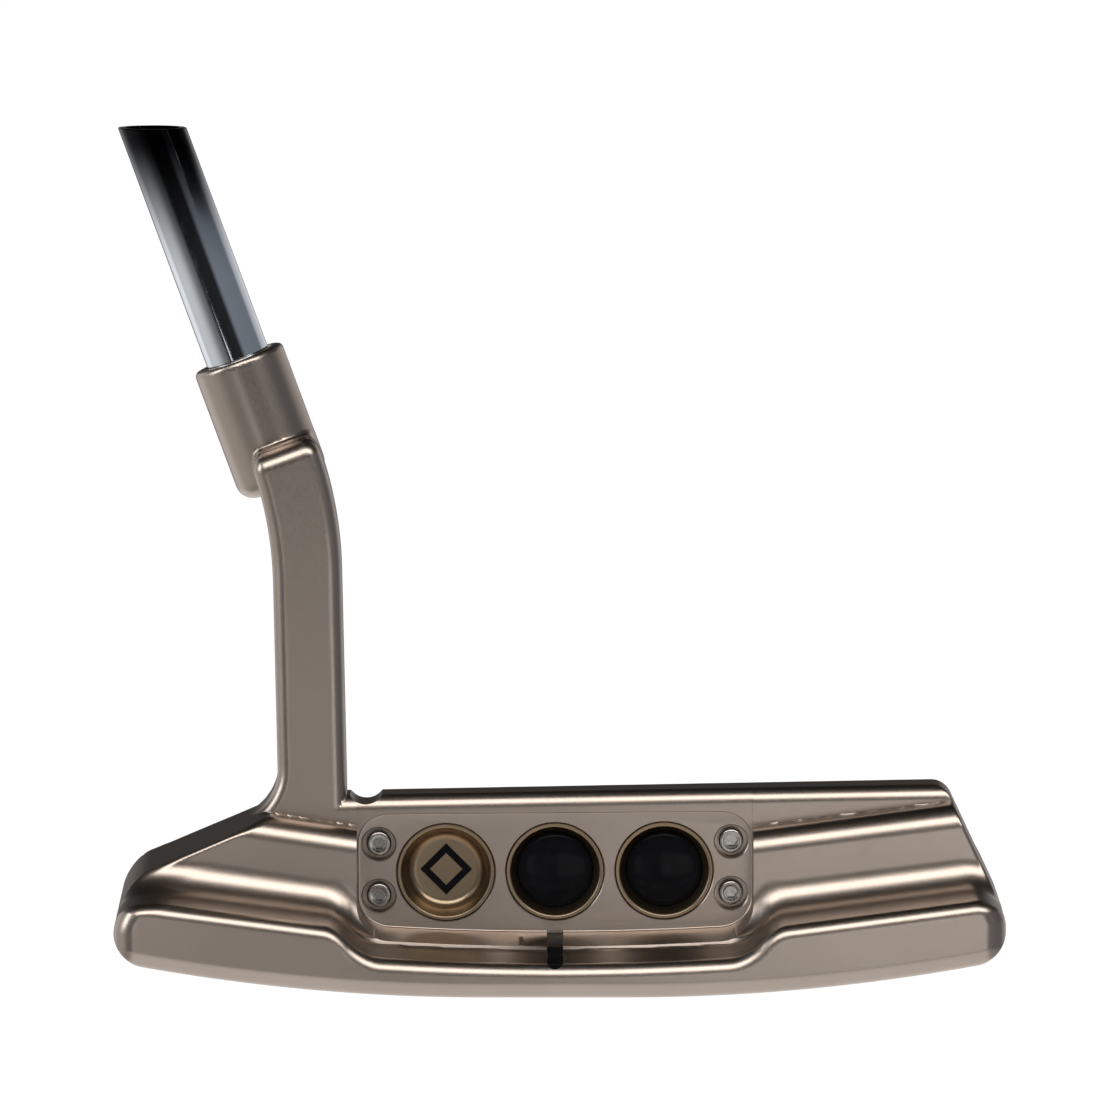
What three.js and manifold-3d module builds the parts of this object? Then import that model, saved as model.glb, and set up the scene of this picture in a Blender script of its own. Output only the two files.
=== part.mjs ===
// Blade putter head with a plumber's neck and a short shaft stub.
// Millimetres. +X points to the toe, +Y is the way the ball goes, +Z is up.
// The origin is on the flat of the sole, below the middle of the sight line.

import * as THREE from 'three';
import { mergeVertices } from 'three/addons/utils/BufferGeometryUtils.js';
import Module from 'manifold-3d';

const wasm = await Module();
wasm.setup();

const rad = THREE.MathUtils.degToRad;
const slopeOf = (degrees) => Math.tan(rad(degrees));

// ---------------------------------------------------------------- driving sizes

// Blade length, front to back depth and height.
const HEEL_END = 61.6;
const TOE_END = 62.9;
const FLANGE_REAR = -13.5;
const LEADING_EDGE = 13.5;
const TOP_HEIGHT = 26.9;
const TOP_RISE = slopeOf(1.08);
const LOFT = slopeOf(3.5);

// Back of the blade: wall, upper ledge, bumper face, cove and flange.
const WALL_Y = 4.7;
const TOP_BEVEL = 1.5;
const BEVEL_SHARE = 0.8;
const LEDGE_HEIGHT = 22.1;
const LEDGE_COVE = 0.35;
const LEDGE_ROUND = 3.3;
const BUMPER_Y = -1.0;
const COVE_HEIGHT = 14.95;
const COVE_DEPTH = 4.5;
const FLANGE_HEIGHT = 10.45;
const FLANGE_FALL = slopeOf(2);
const RIDGE_ROUND = 1.9;

// How far the ledge and the flange climb from the pocket's side to the end of the blade.
const HEEL_LEDGE_LIFT = 5.1;
const TOE_LEDGE_LIFT = 4.39;
const FLANGE_LIFT = 4.55;

// Sole: flat in the middle, a long arc towards each end, rounded front and rear edges.
const SOLE_FLAT = 10;
const SOLE_LIFT = 5.28;
const SOLE_RADIUS = (TOE_END - SOLE_FLAT) ** 2 / (2 * SOLE_LIFT);
const SOLE_REST_REAR = -4;
const SOLE_REST_FRONT = 7;
const SOLE_EDGE_RISE = 0.45;
const REAR_EDGE_ROUND = 2.2;
const FRONT_EDGE_ROUND = 1.5;

// Ends of the blade seen from the back, and corners of the flange seen from above.
const END_ROUND = 6;
const SOLE_END_ROUND = 4.2;
const SOLE_END_SWEEP = 80;
const TOE_SLANT = 25;
const TOE_CORNER_ROUND = 2.2;
const TOE_TOP_X = TOE_END - 7.6;
const HEEL_SLANT = 23.3;
const HEEL_SHOULDER_X = 18 - HEEL_END;
const HEEL_SHOULDER_Z = TOP_HEIGHT - 3.3;
const HEEL_SHOULDER_ROUND = 7.3;
const HEEL_TOP_TILT = 0.08;
const PLAN_CORNER_ROUND = 3.5;

// Neck post and hosel.
const NECK_WIDTH = 9.7;
const NECK_FRONT = 12.2;
const NECK_FOOT_X = -34.3;
const NECK_LEAN = slopeOf(1.15);
const NECK_EDGE_ROUND = 1.9;
const NECK_FILLET = 4.5;
const NECK_BEND_SHARE = 0.7;
const NECK_STEP_CHAMFER = 2.5;
const NOTCH_RADIUS = 2.7;
const NOTCH_BOTTOM = TOP_HEIGHT - 1.8;
const SHOULDER_TOP = TOP_HEIGHT + 3;
const LIE_LEAN = 20.1;
const HOSEL_WALL = 1.75;
const HOSEL_TOP = 87.4;
const HOSEL_LENGTH = 19.6;
const HOSEL_TOP_ROUND = 0.8;
const HOSEL_BOTTOM_ROUND = 2.4;
const HOSEL_AXIS_Y = 17;
const HOSEL_AXIS_X0 = -13.0;
const NECK_TOP_BELOW_HOSEL_TOP = 13.3;
const NECK_OFFSET_FROM_AXIS = 2.1;
const BRIDGE_HEIGHT = 9.5;
const BRIDGE_WIDTH = 8;

// Shaft stub and its seat.
const SHAFT_RADIUS = 4.55;
const SHAFT_WALL = 0.7;
const SHAFT_CUT_HEIGHT = 120;
const SHAFT_SEAT_DEPTH = 16;
const BOND_THICKNESS = 0.2;
const NEST_GAP = 0.05;
const PLUG_LENGTH = 4;

// Centre pocket and scooped flange below it.
const POCKET_HALF = 27.9;
const POCKET_TOP = 24;
const POCKET_BOTTOM = 6.85;
const POCKET_ROUND = 4.4;
const POCKET_SAG_RADIUS = 384;
const POCKET_DRAFT = 0.045;
const WALL_STEP = 0.3;
const PANEL_STEP = 0.3;
const ROW_RISE = 0.008;
const SCOOP_HALF = 22.5;
const SCOOP_HEIGHT = 3.5;
const SCOOP_SLOPE = slopeOf(4);
const SCOOP_RAMP = 47;
const SCOOP_ROUND = 4;

// Round windows, insert bosses and dots.
const DOT_SPACING = 15.43;
const DOT_HEIGHT = 15.5;
const WINDOW_RADIUS = 7.0;
const FIT_GAP = 0.1;
const DISH_RIM = 0.65;
const DISH_DEPTH = 3.0;
const DISH_TAPER = 0.75;
const DISH_FILLET = 1.35;
const DOT_EDGE_DEPTH = 2.0;
const DOT_CROWN = 1.0;
const MOTIF_MARGIN = 2.55;
const MOTIF_LINE = 1.0;
const MOTIF_DEPTH = 0.4;

// Face insert, pad and screws.
const INSERT_HALF = 31;
const INSERT_BOTTOM = 5;
const INSERT_TOP = 24;
const INSERT_ROUND = 6;
const BACK_WALL = 3.3;
const PAD_THICKNESS = 0.5;
const SCREW_X = 24.9;
const SCREW_UPPER_Z = 19.6;
const SCREW_LOWER_Z = 12.2;
const COUNTERBORE_RADIUS = 2.35;
const COUNTERBORE_DEPTH = 2.1;
const SCREW_HEAD_RADIUS = 1.75;
const SCREW_HEAD_HEIGHT = 1.6;
const SCREW_HEAD_CHAMFER = 0.4;
const SCREW_SHANK_RADIUS = 1.0;
const SCREW_ENGAGEMENT = 2.0;
const SOCKET_RADIUS = 0.87;
const SOCKET_DEPTH = 0.9;

// Sight line.
const SIGHT_WIDTH = 2.3;
const SIGHT_DEPTH = 0.9;
const SIGHT_REAR = -13.0;
const SIGHT_RAMP = 0.5;
const SIGHT_SINK = 0.15;

// Sole weights.
const WEIGHT_X = 46;
const WEIGHT_Y = -1;
const WEIGHT_RADIUS = 6.7;
const WEIGHT_THICKNESS = 4.4;
const WEIGHT_SINK = 0.3;
const WEIGHT_CHAMFER = 0.4;
const WASHER_THICKNESS = 0.5;
const WASHER_BORE = 3.2;
const SPANNER_HOLE_RADIUS = 0.9;
const SPANNER_HOLE_DEPTH = 1.6;
const SPANNER_HOLE_OFFSET = 4.2;

// How finely round things are cut.
const ROUND_SEGMENTS = 36;
const SCREW_SEGMENTS = 18;
const FILLET_STEPS = 4;
const STATION_STEP = 6;

// A cutter reaches this far past what it cuts.
const REACH = 20;

// ---------------------------------------------------------------- solids

// Welds a closed geometry, drops its collapsed triangles and turns it face out.
function weld(geometry) {
  const bare = geometry.clone();
  bare.deleteAttribute('normal');
  bare.deleteAttribute('uv');
  const merged = mergeVertices(bare, 1e-4);
  const position = merged.attributes.position;
  const index = merged.index.array;
  const kept = [];
  const [a, b, c] = [new THREE.Vector3(), new THREE.Vector3(), new THREE.Vector3()];
  let volume = 0;
  for (let i = 0; i < index.length; i += 3) {
    const [p, q, r] = [index[i], index[i + 1], index[i + 2]];
    if (p === q || q === r || r === p) continue;
    kept.push(p, q, r);
    a.fromBufferAttribute(position, p);
    b.fromBufferAttribute(position, q);
    c.fromBufferAttribute(position, r);
    volume += a.dot(b.cross(c));
  }
  if (volume < 0) {
    for (let i = 0; i < kept.length; i += 3) [kept[i], kept[i + 1]] = [kept[i + 1], kept[i]];
  }
  merged.setIndex(kept);
  return merged;
}

function solid(geometry) {
  const welded = weld(geometry);
  const mesh = new wasm.Mesh({
    numProp: 3,
    vertProperties: new Float32Array(welded.attributes.position.array),
    triVerts: new Uint32Array(welded.index.array),
  });
  return new wasm.Manifold(mesh);
}

function geometryOf(body) {
  const mesh = body.getMesh();
  const geometry = new THREE.BufferGeometry();
  geometry.setAttribute('position', new THREE.BufferAttribute(mesh.vertProperties, 3));
  geometry.setIndex(new THREE.BufferAttribute(mesh.triVerts, 1));
  return geometry;
}

// Points of an arc from one angle to another, in degrees, both ends included.
function arc(cx, cy, radius, from, to, steps = FILLET_STEPS) {
  const points = [];
  for (let i = 0; i <= steps; i += 1) {
    const angle = rad(from + ((to - from) * i) / steps);
    points.push(new THREE.Vector2(cx + radius * Math.cos(angle), cy + radius * Math.sin(angle)));
  }
  return points;
}

// The same for a quarter ellipse with its own radius each way.
function quarter(cx, cy, rx, ry, from, to, steps = FILLET_STEPS) {
  return arc(0, 0, 1, from, to, steps).map((p) => new THREE.Vector2(cx + rx * p.x, cy + ry * p.y));
}

// A prism along Y of an outline drawn in X and Z.
function prismY(points, y0, y1, bevel = 0) {
  const geometry = new THREE.ExtrudeGeometry(new THREE.Shape(points), {
    depth: y1 - y0 - 2 * bevel,
    bevelEnabled: bevel > 0,
    bevelThickness: bevel,
    bevelSize: bevel,
    bevelOffset: -bevel,
    bevelSegments: 3,
    steps: 1,
  });
  return geometry.rotateX(Math.PI / 2).translate(0, y1 - bevel, 0);
}

// A prism along Z of an outline drawn in X and Y.
function prismZ(points, z0, z1) {
  const shape = new THREE.Shape(points);
  return new THREE.ExtrudeGeometry(shape, { depth: z1 - z0, bevelEnabled: false }).translate(0, 0, z0);
}

// A solid turned about an axis along Y; each point is a radius and a y.
function turnedY(points, x, z, segments) {
  const profile = points.map(([radius, y]) => new THREE.Vector2(radius, y));
  return new THREE.LatheGeometry(profile, segments).translate(x, 0, z);
}

function boxFrom(x0, x1, y0, y1, z0, z1) {
  const geometry = new THREE.BoxGeometry(x1 - x0, y1 - y0, z1 - z0);
  return geometry.translate((x0 + x1) / 2, (y0 + y1) / 2, (z0 + z1) / 2);
}

// Leans a geometry so that z gains rate for each millimetre of y past a pivot.
function leanAlongY(geometry, rate, pivotY) {
  const shear = new THREE.Matrix4().set(1, 0, 0, 0, 0, 1, 0, 0, 0, rate, 1, -rate * pivotY, 0, 0, 0, 1);
  return geometry.applyMatrix4(shear);
}

// A closed body through YZ sections, each a list of points at its own x.
function loftAlongX(stations, sectionAt) {
  const turned = (points) => (THREE.ShapeUtils.isClockWise(points) ? points.reverse() : points);
  const sections = stations.map((x) => turned(sectionAt(x)));
  const rings = sections.map((points, s) => points.map((p) => [stations[s], p.x, p.y]));
  const count = rings[0].length;
  const index = [];
  for (let s = 0; s + 1 < rings.length; s += 1) {
    for (let i = 0; i < count; i += 1) {
      const j = (i + 1) % count;
      const [a, b, c, d] = [s * count + i, s * count + j, (s + 1) * count + j, (s + 1) * count + i];
      index.push(a, c, b, a, d, c);
    }
  }
  const capOf = (points) => THREE.ShapeUtils.triangulateShape(points, []);
  const last = (rings.length - 1) * count;
  for (const [a, b, c] of capOf(sections[0])) index.push(a, b, c);
  for (const [a, b, c] of capOf(sections.at(-1))) index.push(last + a, last + c, last + b);
  const geometry = new THREE.BufferGeometry();
  geometry.setAttribute('position', new THREE.Float32BufferAttribute(rings.flat(2), 3));
  geometry.setIndex(index);
  return geometry;
}

// ---------------------------------------------------------------- blade surfaces

const topAt = (x) => TOP_HEIGHT + TOP_RISE * x;
const soleAt = (x) => Math.max(0, Math.abs(x) - SOLE_FLAT) ** 2 / (2 * SOLE_RADIUS);
const faceYAt = (z) => LEADING_EDGE - LOFT * z;

// Share of the way from the pocket's side to the end of the blade.
const endShare = (x) => (Math.abs(x) - POCKET_HALF) / ((x < 0 ? HEEL_END : TOE_END) - POCKET_HALF);
const ledgeRise = (x) => (x < 0 ? HEEL_LEDGE_LIFT : TOE_LEDGE_LIFT) * endShare(x);
const flangeRise = (x) => FLANGE_LIFT * endShare(x);

// Section of the blade, from the rest flat of the sole to the face, the top and the back.
function bladeSection(x, topOfWall) {
  const sole = soleAt(x);
  const top = topOfWall(x);
  const ledge = LEDGE_HEIGHT + ledgeRise(x);
  const bevel = Math.min(TOP_BEVEL, BEVEL_SHARE * (top - ledge - LEDGE_COVE));
  const coveTop = COVE_HEIGHT + ledgeRise(x);
  const coveFoot = FLANGE_HEIGHT + flangeRise(x);
  const ridgeTop = coveFoot - FLANGE_FALL * (BUMPER_Y - COVE_DEPTH - FLANGE_REAR);
  const frontFoot = sole + SOLE_EDGE_RISE + FRONT_EDGE_ROUND;
  const frontRoundY = faceYAt(frontFoot) - FRONT_EDGE_ROUND;
  const rearRoundZ = sole + SOLE_EDGE_RISE + REAR_EDGE_ROUND;
  return [
    new THREE.Vector2(SOLE_REST_REAR, sole),
    new THREE.Vector2(SOLE_REST_FRONT, sole),
    ...arc(frontRoundY, frontFoot, FRONT_EDGE_ROUND, -90, 0),
    new THREE.Vector2(faceYAt(top), top),
    new THREE.Vector2(WALL_Y + bevel, top),
    new THREE.Vector2(WALL_Y, top - bevel),
    ...arc(WALL_Y - LEDGE_COVE, ledge + LEDGE_COVE, LEDGE_COVE, 0, -90, 3),
    ...arc(BUMPER_Y + LEDGE_ROUND, ledge - LEDGE_ROUND, LEDGE_ROUND, 90, 180),
    ...quarter(BUMPER_Y - COVE_DEPTH, coveTop, COVE_DEPTH, coveTop - coveFoot, 0, -90),
    ...arc(FLANGE_REAR + RIDGE_ROUND, ridgeTop - RIDGE_ROUND, RIDGE_ROUND, 90, 180, 3),
    ...arc(FLANGE_REAR + REAR_EDGE_ROUND, rearRoundZ, REAR_EDGE_ROUND, 180, 270),
  ];
}

function stationsBetween(x0, x1) {
  const count = Math.max(1, Math.ceil((x1 - x0) / STATION_STEP));
  return Array.from({ length: count + 1 }, (_, i) => x0 + ((x1 - x0) * i) / count);
}

// Round end of the blade from the vertical tangent down to the slope of the sole, on one side.
function endCurve(end, side) {
  const round = SOLE_END_ROUND;
  const centreX = end - round;
  const footX = centreX + round * Math.cos(rad(SOLE_END_SWEEP));
  const centreZ = soleAt(footX) + round * Math.sin(rad(SOLE_END_SWEEP));
  const curve = arc(centreX, centreZ, round, 0, -SOLE_END_SWEEP, 7);
  return curve.map((p) => new THREE.Vector2(side * p.x, p.y));
}

// ---------------------------------------------------------------- neck lines

const axisDirection = new THREE.Vector3(-Math.sin(rad(LIE_LEAN)), 0, Math.cos(rad(LIE_LEAN)));
const axisAt = (z) => new THREE.Vector3(HOSEL_AXIS_X0 - z * slopeOf(LIE_LEAN), HOSEL_AXIS_Y, z);
const hoselTop = axisAt(HOSEL_TOP);

// A point in the XZ plane, placed across and along the leaning hosel axis from the hosel's top.
function beside(across, along) {
  const [s, c] = [Math.sin(rad(LIE_LEAN)), Math.cos(rad(LIE_LEAN))];
  return new THREE.Vector2(hoselTop.x + across * c - along * s, hoselTop.z + across * s + along * c);
}

const neckCentreAt = (z) => NECK_FOOT_X - NECK_LEAN * (z - TOP_HEIGHT);

// Turns a bend of the neck's edge into a smooth curve between its two straight lines.
function bend(start, corner, end, steps = 6) {
  return new THREE.QuadraticBezierCurve(start, corner, end).getPoints(steps);
}

// Where the leaning edge through a top corner meets the upright edge of the neck post.
function neckCorner(top, offset) {
  const lie = slopeOf(LIE_LEAN);
  const foot = NECK_FOOT_X + offset + NECK_LEAN * TOP_HEIGHT;
  const z = (top.x + lie * top.y - foot) / (lie - NECK_LEAN);
  return new THREE.Vector2(foot - NECK_LEAN * z, z);
}

function neckSide(offset, bottom) {
  const top = beside(NECK_OFFSET_FROM_AXIS + offset, -NECK_TOP_BELOW_HOSEL_TOP);
  const corner = neckCorner(top, offset);
  const blend = (top.y - corner.y) * NECK_BEND_SHARE;
  const above = new THREE.Vector2(corner.x - blend * slopeOf(LIE_LEAN), corner.y + blend);
  const below = new THREE.Vector2(corner.x + blend * NECK_LEAN, corner.y - blend);
  const foot = new THREE.Vector2(neckCentreAt(bottom) + offset, bottom);
  return [foot, ...bend(below, corner, above), top];
}

function neckOutline(bottom, width) {
  return [...neckSide(width / 2, bottom), ...neckSide(-width / 2, bottom).reverse()];
}

// ---------------------------------------------------------------- turned pieces on the shaft axis

// Lathe about the hosel axis; each point is a radius and a distance up from the hosel's top.
function turnedOnAxis(points, segments = ROUND_SEGMENTS) {
  const profile = points.map(([radius, along]) => new THREE.Vector2(radius, along));
  const lean = new THREE.Quaternion().setFromUnitVectors(new THREE.Vector3(0, 1, 0), axisDirection);
  const place = new THREE.Matrix4().compose(hoselTop, lean, new THREE.Vector3(1, 1, 1));
  return new THREE.LatheGeometry(profile, segments).applyMatrix4(place);
}

const shaftTip = -SHAFT_SEAT_DEPTH + NEST_GAP;
const boreRadius = SHAFT_RADIUS + 2 * NEST_GAP + BOND_THICKNESS;
const hoselRadius = boreRadius + HOSEL_WALL;

function hoselProfile() {
  const [low, high] = [HOSEL_BOTTOM_ROUND, HOSEL_TOP_ROUND];
  const lower = arc(hoselRadius - low, low - HOSEL_LENGTH, low, -90, 0);
  const upper = arc(hoselRadius - high, -high, high, 0, 90, 3);
  const rim = [...lower, ...upper].map((p) => [p.x, p.y]);
  return [[0, -HOSEL_LENGTH], ...rim, [0, 0]];
}

function shaftSolid() {
  const length = (SHAFT_CUT_HEIGHT - HOSEL_TOP) / Math.cos(rad(LIE_LEAN)) + REACH;
  const inner = SHAFT_RADIUS - SHAFT_WALL;
  const tube = solid(turnedOnAxis([
    [inner, shaftTip], [SHAFT_RADIUS, shaftTip],
    [SHAFT_RADIUS, length], [inner, length], [inner, shaftTip],
  ]));
  const top = axisAt(SHAFT_CUT_HEIGHT);
  const reach = 2 * REACH;
  const above = boxFrom(top.x - reach, top.x + reach, top.y - reach, top.y + reach, top.z, top.z + reach);
  return tube.subtract(solid(above));
}

function bondSolid() {
  const inner = SHAFT_RADIUS + NEST_GAP;
  const outer = inner + BOND_THICKNESS;
  const top = -BOND_THICKNESS;
  return solid(turnedOnAxis([
    [inner, shaftTip], [outer, shaftTip], [outer, top], [inner, top], [inner, shaftTip],
  ]));
}

function plugSolid() {
  const radius = SHAFT_RADIUS - SHAFT_WALL - NEST_GAP;
  return solid(turnedOnAxis([
    [0, shaftTip], [radius, shaftTip], [radius, shaftTip + PLUG_LENGTH], [0, shaftTip + PLUG_LENGTH],
  ]));
}

// ---------------------------------------------------------------- pocket

const panelY = WALL_Y + WALL_STEP + PANEL_STEP;
const recessY = panelY + BACK_WALL;
const insertBackY = recessY + PAD_THICKNESS + 2 * NEST_GAP;
const dotXs = [-DOT_SPACING, 0, DOT_SPACING];
const rowZ = (x, z) => z + ROW_RISE * x;
const pocketFloorAt = (x) => POCKET_BOTTOM + x ** 2 / (2 * POCKET_SAG_RADIUS);

function pocketCutter() {
  const r = POCKET_ROUND;
  const side = POCKET_HALF - r;
  const low = (x) => pocketFloorAt(x) + r;
  const high = (x) => rowZ(x, POCKET_TOP) - r;
  const floor = stationsBetween(-side, side).slice(1, -1);
  const outline = [
    ...arc(-side, low(-side), r, 180, 270),
    ...floor.map((x) => new THREE.Vector2(x, pocketFloorAt(x))),
    ...arc(side, low(side), r, 270, 360),
    ...arc(side, high(side), r, 0, 90),
    ...arc(-side, high(-side), r, 90, 180),
  ];
  return leanAlongY(prismY(outline, FLANGE_REAR - REACH, panelY), POCKET_DRAFT, panelY);
}

// Lower edge of the scoop in XZ: a shallow arc in the middle and a rounded ramp up to each wing.
function scoopEdge(drop) {
  const sag = (x) => SCOOP_HEIGHT - drop + x ** 2 / (2 * POCKET_SAG_RADIUS);
  const start = sag(SCOOP_HALF);
  const foot = arc(SCOOP_HALF, start + SCOOP_ROUND, SCOOP_ROUND, -90, SCOOP_RAMP - 90);
  const last = foot.at(-1);
  const run = 3 * SCOOP_ROUND;
  const along = new THREE.Vector2(Math.cos(rad(SCOOP_RAMP)), Math.sin(rad(SCOOP_RAMP)));
  const right = [...foot, last.clone().addScaledVector(along, run)];
  const left = right.map((p) => new THREE.Vector2(-p.x, p.y)).reverse();
  const middle = stationsBetween(-SCOOP_HALF, SCOOP_HALF).slice(1, -1);
  return [...left, ...middle.map((x) => new THREE.Vector2(x, sag(x))), ...right];
}

function scoopCutter(drop, slope, pivotY, frontY) {
  const edge = scoopEdge(drop);
  const lid = LEDGE_HEIGHT + REACH;
  const outline = [...edge, new THREE.Vector2(edge.at(-1).x, lid), new THREE.Vector2(edge[0].x, lid)];
  return leanAlongY(prismY(outline, FLANGE_REAR - REACH, frontY), slope, pivotY);
}

const ridgeY = FLANGE_REAR + RIDGE_ROUND;
const lipY = BUMPER_Y - COVE_DEPTH;
const scoopSurfaceAt = (y) => SCOOP_HEIGHT + RIDGE_ROUND + SCOOP_SLOPE * (y - ridgeY);
const pocketSurfaceAt = (y) => POCKET_BOTTOM + POCKET_DRAFT * (y - panelY);

// Surface the sight line runs along: the rear slope, the scoop, a short ramp and the pocket's floor.
const sightPath = [
  [FLANGE_REAR - 1, scoopSurfaceAt(ridgeY) - RIDGE_ROUND - 1],
  [ridgeY, scoopSurfaceAt(ridgeY)],
  [lipY, scoopSurfaceAt(lipY)],
  [lipY + SIGHT_RAMP, pocketSurfaceAt(lipY + SIGHT_RAMP)],
  [panelY, pocketSurfaceAt(panelY)],
];

// Slot of the sight line seen from above, with a round rear end.
function sightOutline(inset) {
  const half = SIGHT_WIDTH / 2 - inset;
  const front = panelY - 2 * inset;
  const round = arc(0, SIGHT_REAR + SIGHT_WIDTH / 2, half, 180, 360, 8);
  return [new THREE.Vector2(-half, front), ...round, new THREE.Vector2(half, front)];
}

// Layer of a given thickness whose underside is the slot's floor raised by lift.
function sightBand(lift, thickness) {
  const floor = sightPath.map(([y, z]) => new THREE.Vector2(y, z - SIGHT_DEPTH + lift));
  const roof = floor.map((p) => new THREE.Vector2(p.x, p.y + thickness)).reverse();
  return loftAlongX([-SIGHT_WIDTH, SIGHT_WIDTH], () => [...floor, ...roof]);
}

function sightSlot(inset, lift, thickness) {
  const outline = solid(prismZ(sightOutline(inset), -REACH, LEDGE_HEIGHT));
  return outline.intersect(solid(sightBand(lift, thickness)));
}

// ---------------------------------------------------------------- insert, pad, dots and screws

function insertOutline(grow) {
  const r = INSERT_ROUND + grow;
  const side = INSERT_HALF - INSERT_ROUND;
  const [low, high] = [INSERT_BOTTOM + INSERT_ROUND, INSERT_TOP - INSERT_ROUND];
  return [
    ...arc(side, low, r, -90, 0, 8),
    ...arc(side, high, r, 0, 90, 8),
    ...arc(-side, high, r, 90, 180, 8),
    ...arc(-side, low, r, 180, 270, 8),
  ];
}

const screwPlaces = [
  ['insert_screw_heel_upper', -SCREW_X, SCREW_UPPER_Z],
  ['insert_screw_heel_lower', -SCREW_X, SCREW_LOWER_Z],
  ['insert_screw_toe_upper', SCREW_X, SCREW_UPPER_Z],
  ['insert_screw_toe_lower', SCREW_X, SCREW_LOWER_Z],
].map(([name, x, z]) => ({ name, x, z: rowZ(x, z) }));

function pinY(radius, y0, y1, x, z, segments) {
  return solid(turnedY([[0, y0], [radius, y0], [radius, y1], [0, y1]], x, z, segments));
}

const dishFloorY = panelY + FIT_GAP + DISH_DEPTH;

// Half of the material in front of the lofted face.
function beyondFace(gap) {
  const low = -REACH;
  const high = TOP_HEIGHT + REACH;
  const profile = [
    new THREE.Vector2(faceYAt(low) + gap, low),
    new THREE.Vector2(LEADING_EDGE + REACH, low),
    new THREE.Vector2(LEADING_EDGE + REACH, high),
    new THREE.Vector2(faceYAt(high) + gap, high),
  ];
  return solid(loftAlongX([-HEEL_END - REACH, TOE_END + REACH], () => profile));
}

const dishTopY = panelY + FIT_GAP;
const dishRimRadius = WINDOW_RADIUS - FIT_GAP - DISH_RIM;
const dishRadiusAt = (y) => dishRimRadius - (DISH_TAPER * (y - dishTopY)) / (DISH_DEPTH - DISH_FILLET);

// Tapered wall from a given y down to the fillet and the floor, everything moved inwards by inset.
function dishWall(startY, inset) {
  const filletY = dishFloorY - DISH_FILLET;
  const foot = dishRadiusAt(filletY) - DISH_FILLET;
  const round = arc(foot, filletY, DISH_FILLET - inset, 0, 90);
  return [[dishRadiusAt(startY) - inset, startY], ...round.map((p) => [p.x, p.y])];
}

function bossDish(x, z) {
  const top = dishTopY - 1;
  return solid(turnedY([[0, top], ...dishWall(top, 0), [0, dishFloorY]], x, z, ROUND_SEGMENTS));
}

const motifHalf = dishRimRadius - MOTIF_MARGIN;

function motifOutline(half) {
  return [[half, 0], [0, half], [-half, 0], [0, -half]].map(([x, z]) => new THREE.Vector2(x, z));
}

// Plain diamond outline cut into the floor of the heel window.
function motifSolid(inset, y0, y1) {
  const place = [-DOT_SPACING, 0, rowZ(-DOT_SPACING, DOT_HEIGHT)];
  const hollow = motifHalf - MOTIF_LINE * Math.SQRT2 + inset;
  const outer = prismY(motifOutline(motifHalf - inset), y0, y1).translate(...place);
  const inner = prismY(motifOutline(hollow), y0 - 1, y1 + 1).translate(...place);
  return solid(outer).subtract(solid(inner));
}

const shankBoreRadius = SCREW_SHANK_RADIUS + FIT_GAP;

function insertSolid() {
  let body = solid(prismY(insertOutline(0), insertBackY, LEADING_EDGE + REACH)).subtract(beyondFace(0));
  const bossRadius = WINDOW_RADIUS - FIT_GAP;
  for (const x of dotXs) {
    const z = rowZ(x, DOT_HEIGHT);
    const boss = pinY(bossRadius, dishTopY, insertBackY + 1, x, z, ROUND_SEGMENTS);
    body = body.add(boss).subtract(bossDish(x, z));
  }
  const boreEnd = insertBackY + SCREW_ENGAGEMENT + FIT_GAP;
  for (const { x, z } of screwPlaces) {
    body = body.subtract(pinY(shankBoreRadius, insertBackY - 1, boreEnd, x, z, SCREW_SEGMENTS));
  }
  return body.subtract(motifSolid(0, dishFloorY - 1, dishFloorY + MOTIF_DEPTH));
}

function padSolid() {
  const [from, to] = [recessY - 1, insertBackY + 1];
  const back = recessY + NEST_GAP;
  let body = solid(prismY(insertOutline(0), back, back + PAD_THICKNESS));
  for (const x of dotXs) {
    body = body.subtract(pinY(WINDOW_RADIUS, from, to, x, rowZ(x, DOT_HEIGHT), ROUND_SEGMENTS));
  }
  for (const { x, z } of screwPlaces) {
    body = body.subtract(pinY(shankBoreRadius, from, to, x, z, SCREW_SEGMENTS));
  }
  return body;
}

// Enamel that fills the dish up to a domed top.
function dotFillSolid(x) {
  const edgeY = dishTopY + DOT_EDGE_DEPTH;
  const wall = dishWall(edgeY, NEST_GAP).reverse();
  const radius = wall.at(-1)[0];
  const crown = arc(0, 0, 1, 0, 90, 6).map((p) => [radius * p.x, edgeY - DOT_CROWN * p.y]).slice(1);
  const outline = [[0, dishFloorY - NEST_GAP], ...wall, ...crown];
  return solid(turnedY(outline, x, rowZ(x, DOT_HEIGHT), ROUND_SEGMENTS));
}

function screwSolid({ x, z }) {
  const seat = panelY + COUNTERBORE_DEPTH - NEST_GAP;
  const top = seat - SCREW_HEAD_HEIGHT;
  const end = insertBackY + SCREW_ENGAGEMENT;
  const edge = SCREW_HEAD_RADIUS - SCREW_HEAD_CHAMFER;
  const body = solid(turnedY([
    [0, top], [edge, top], [SCREW_HEAD_RADIUS, top + SCREW_HEAD_CHAMFER], [SCREW_HEAD_RADIUS, seat],
    [SCREW_SHANK_RADIUS, seat], [SCREW_SHANK_RADIUS, end], [0, end],
  ], x, z, SCREW_SEGMENTS));
  return body.subtract(pinY(SOCKET_RADIUS, top - 1, top + SOCKET_DEPTH, x, z, 6));
}

// ---------------------------------------------------------------- sole weights

// Puts a geometry, drawn upright at the origin, on the sole at a weight's place and square to it.
function onSole(geometry, side) {
  const slope = Math.atan((WEIGHT_X - SOLE_FLAT) / SOLE_RADIUS);
  return geometry.rotateY(-side * slope).translate(side * WEIGHT_X, WEIGHT_Y, soleAt(WEIGHT_X));
}

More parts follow.
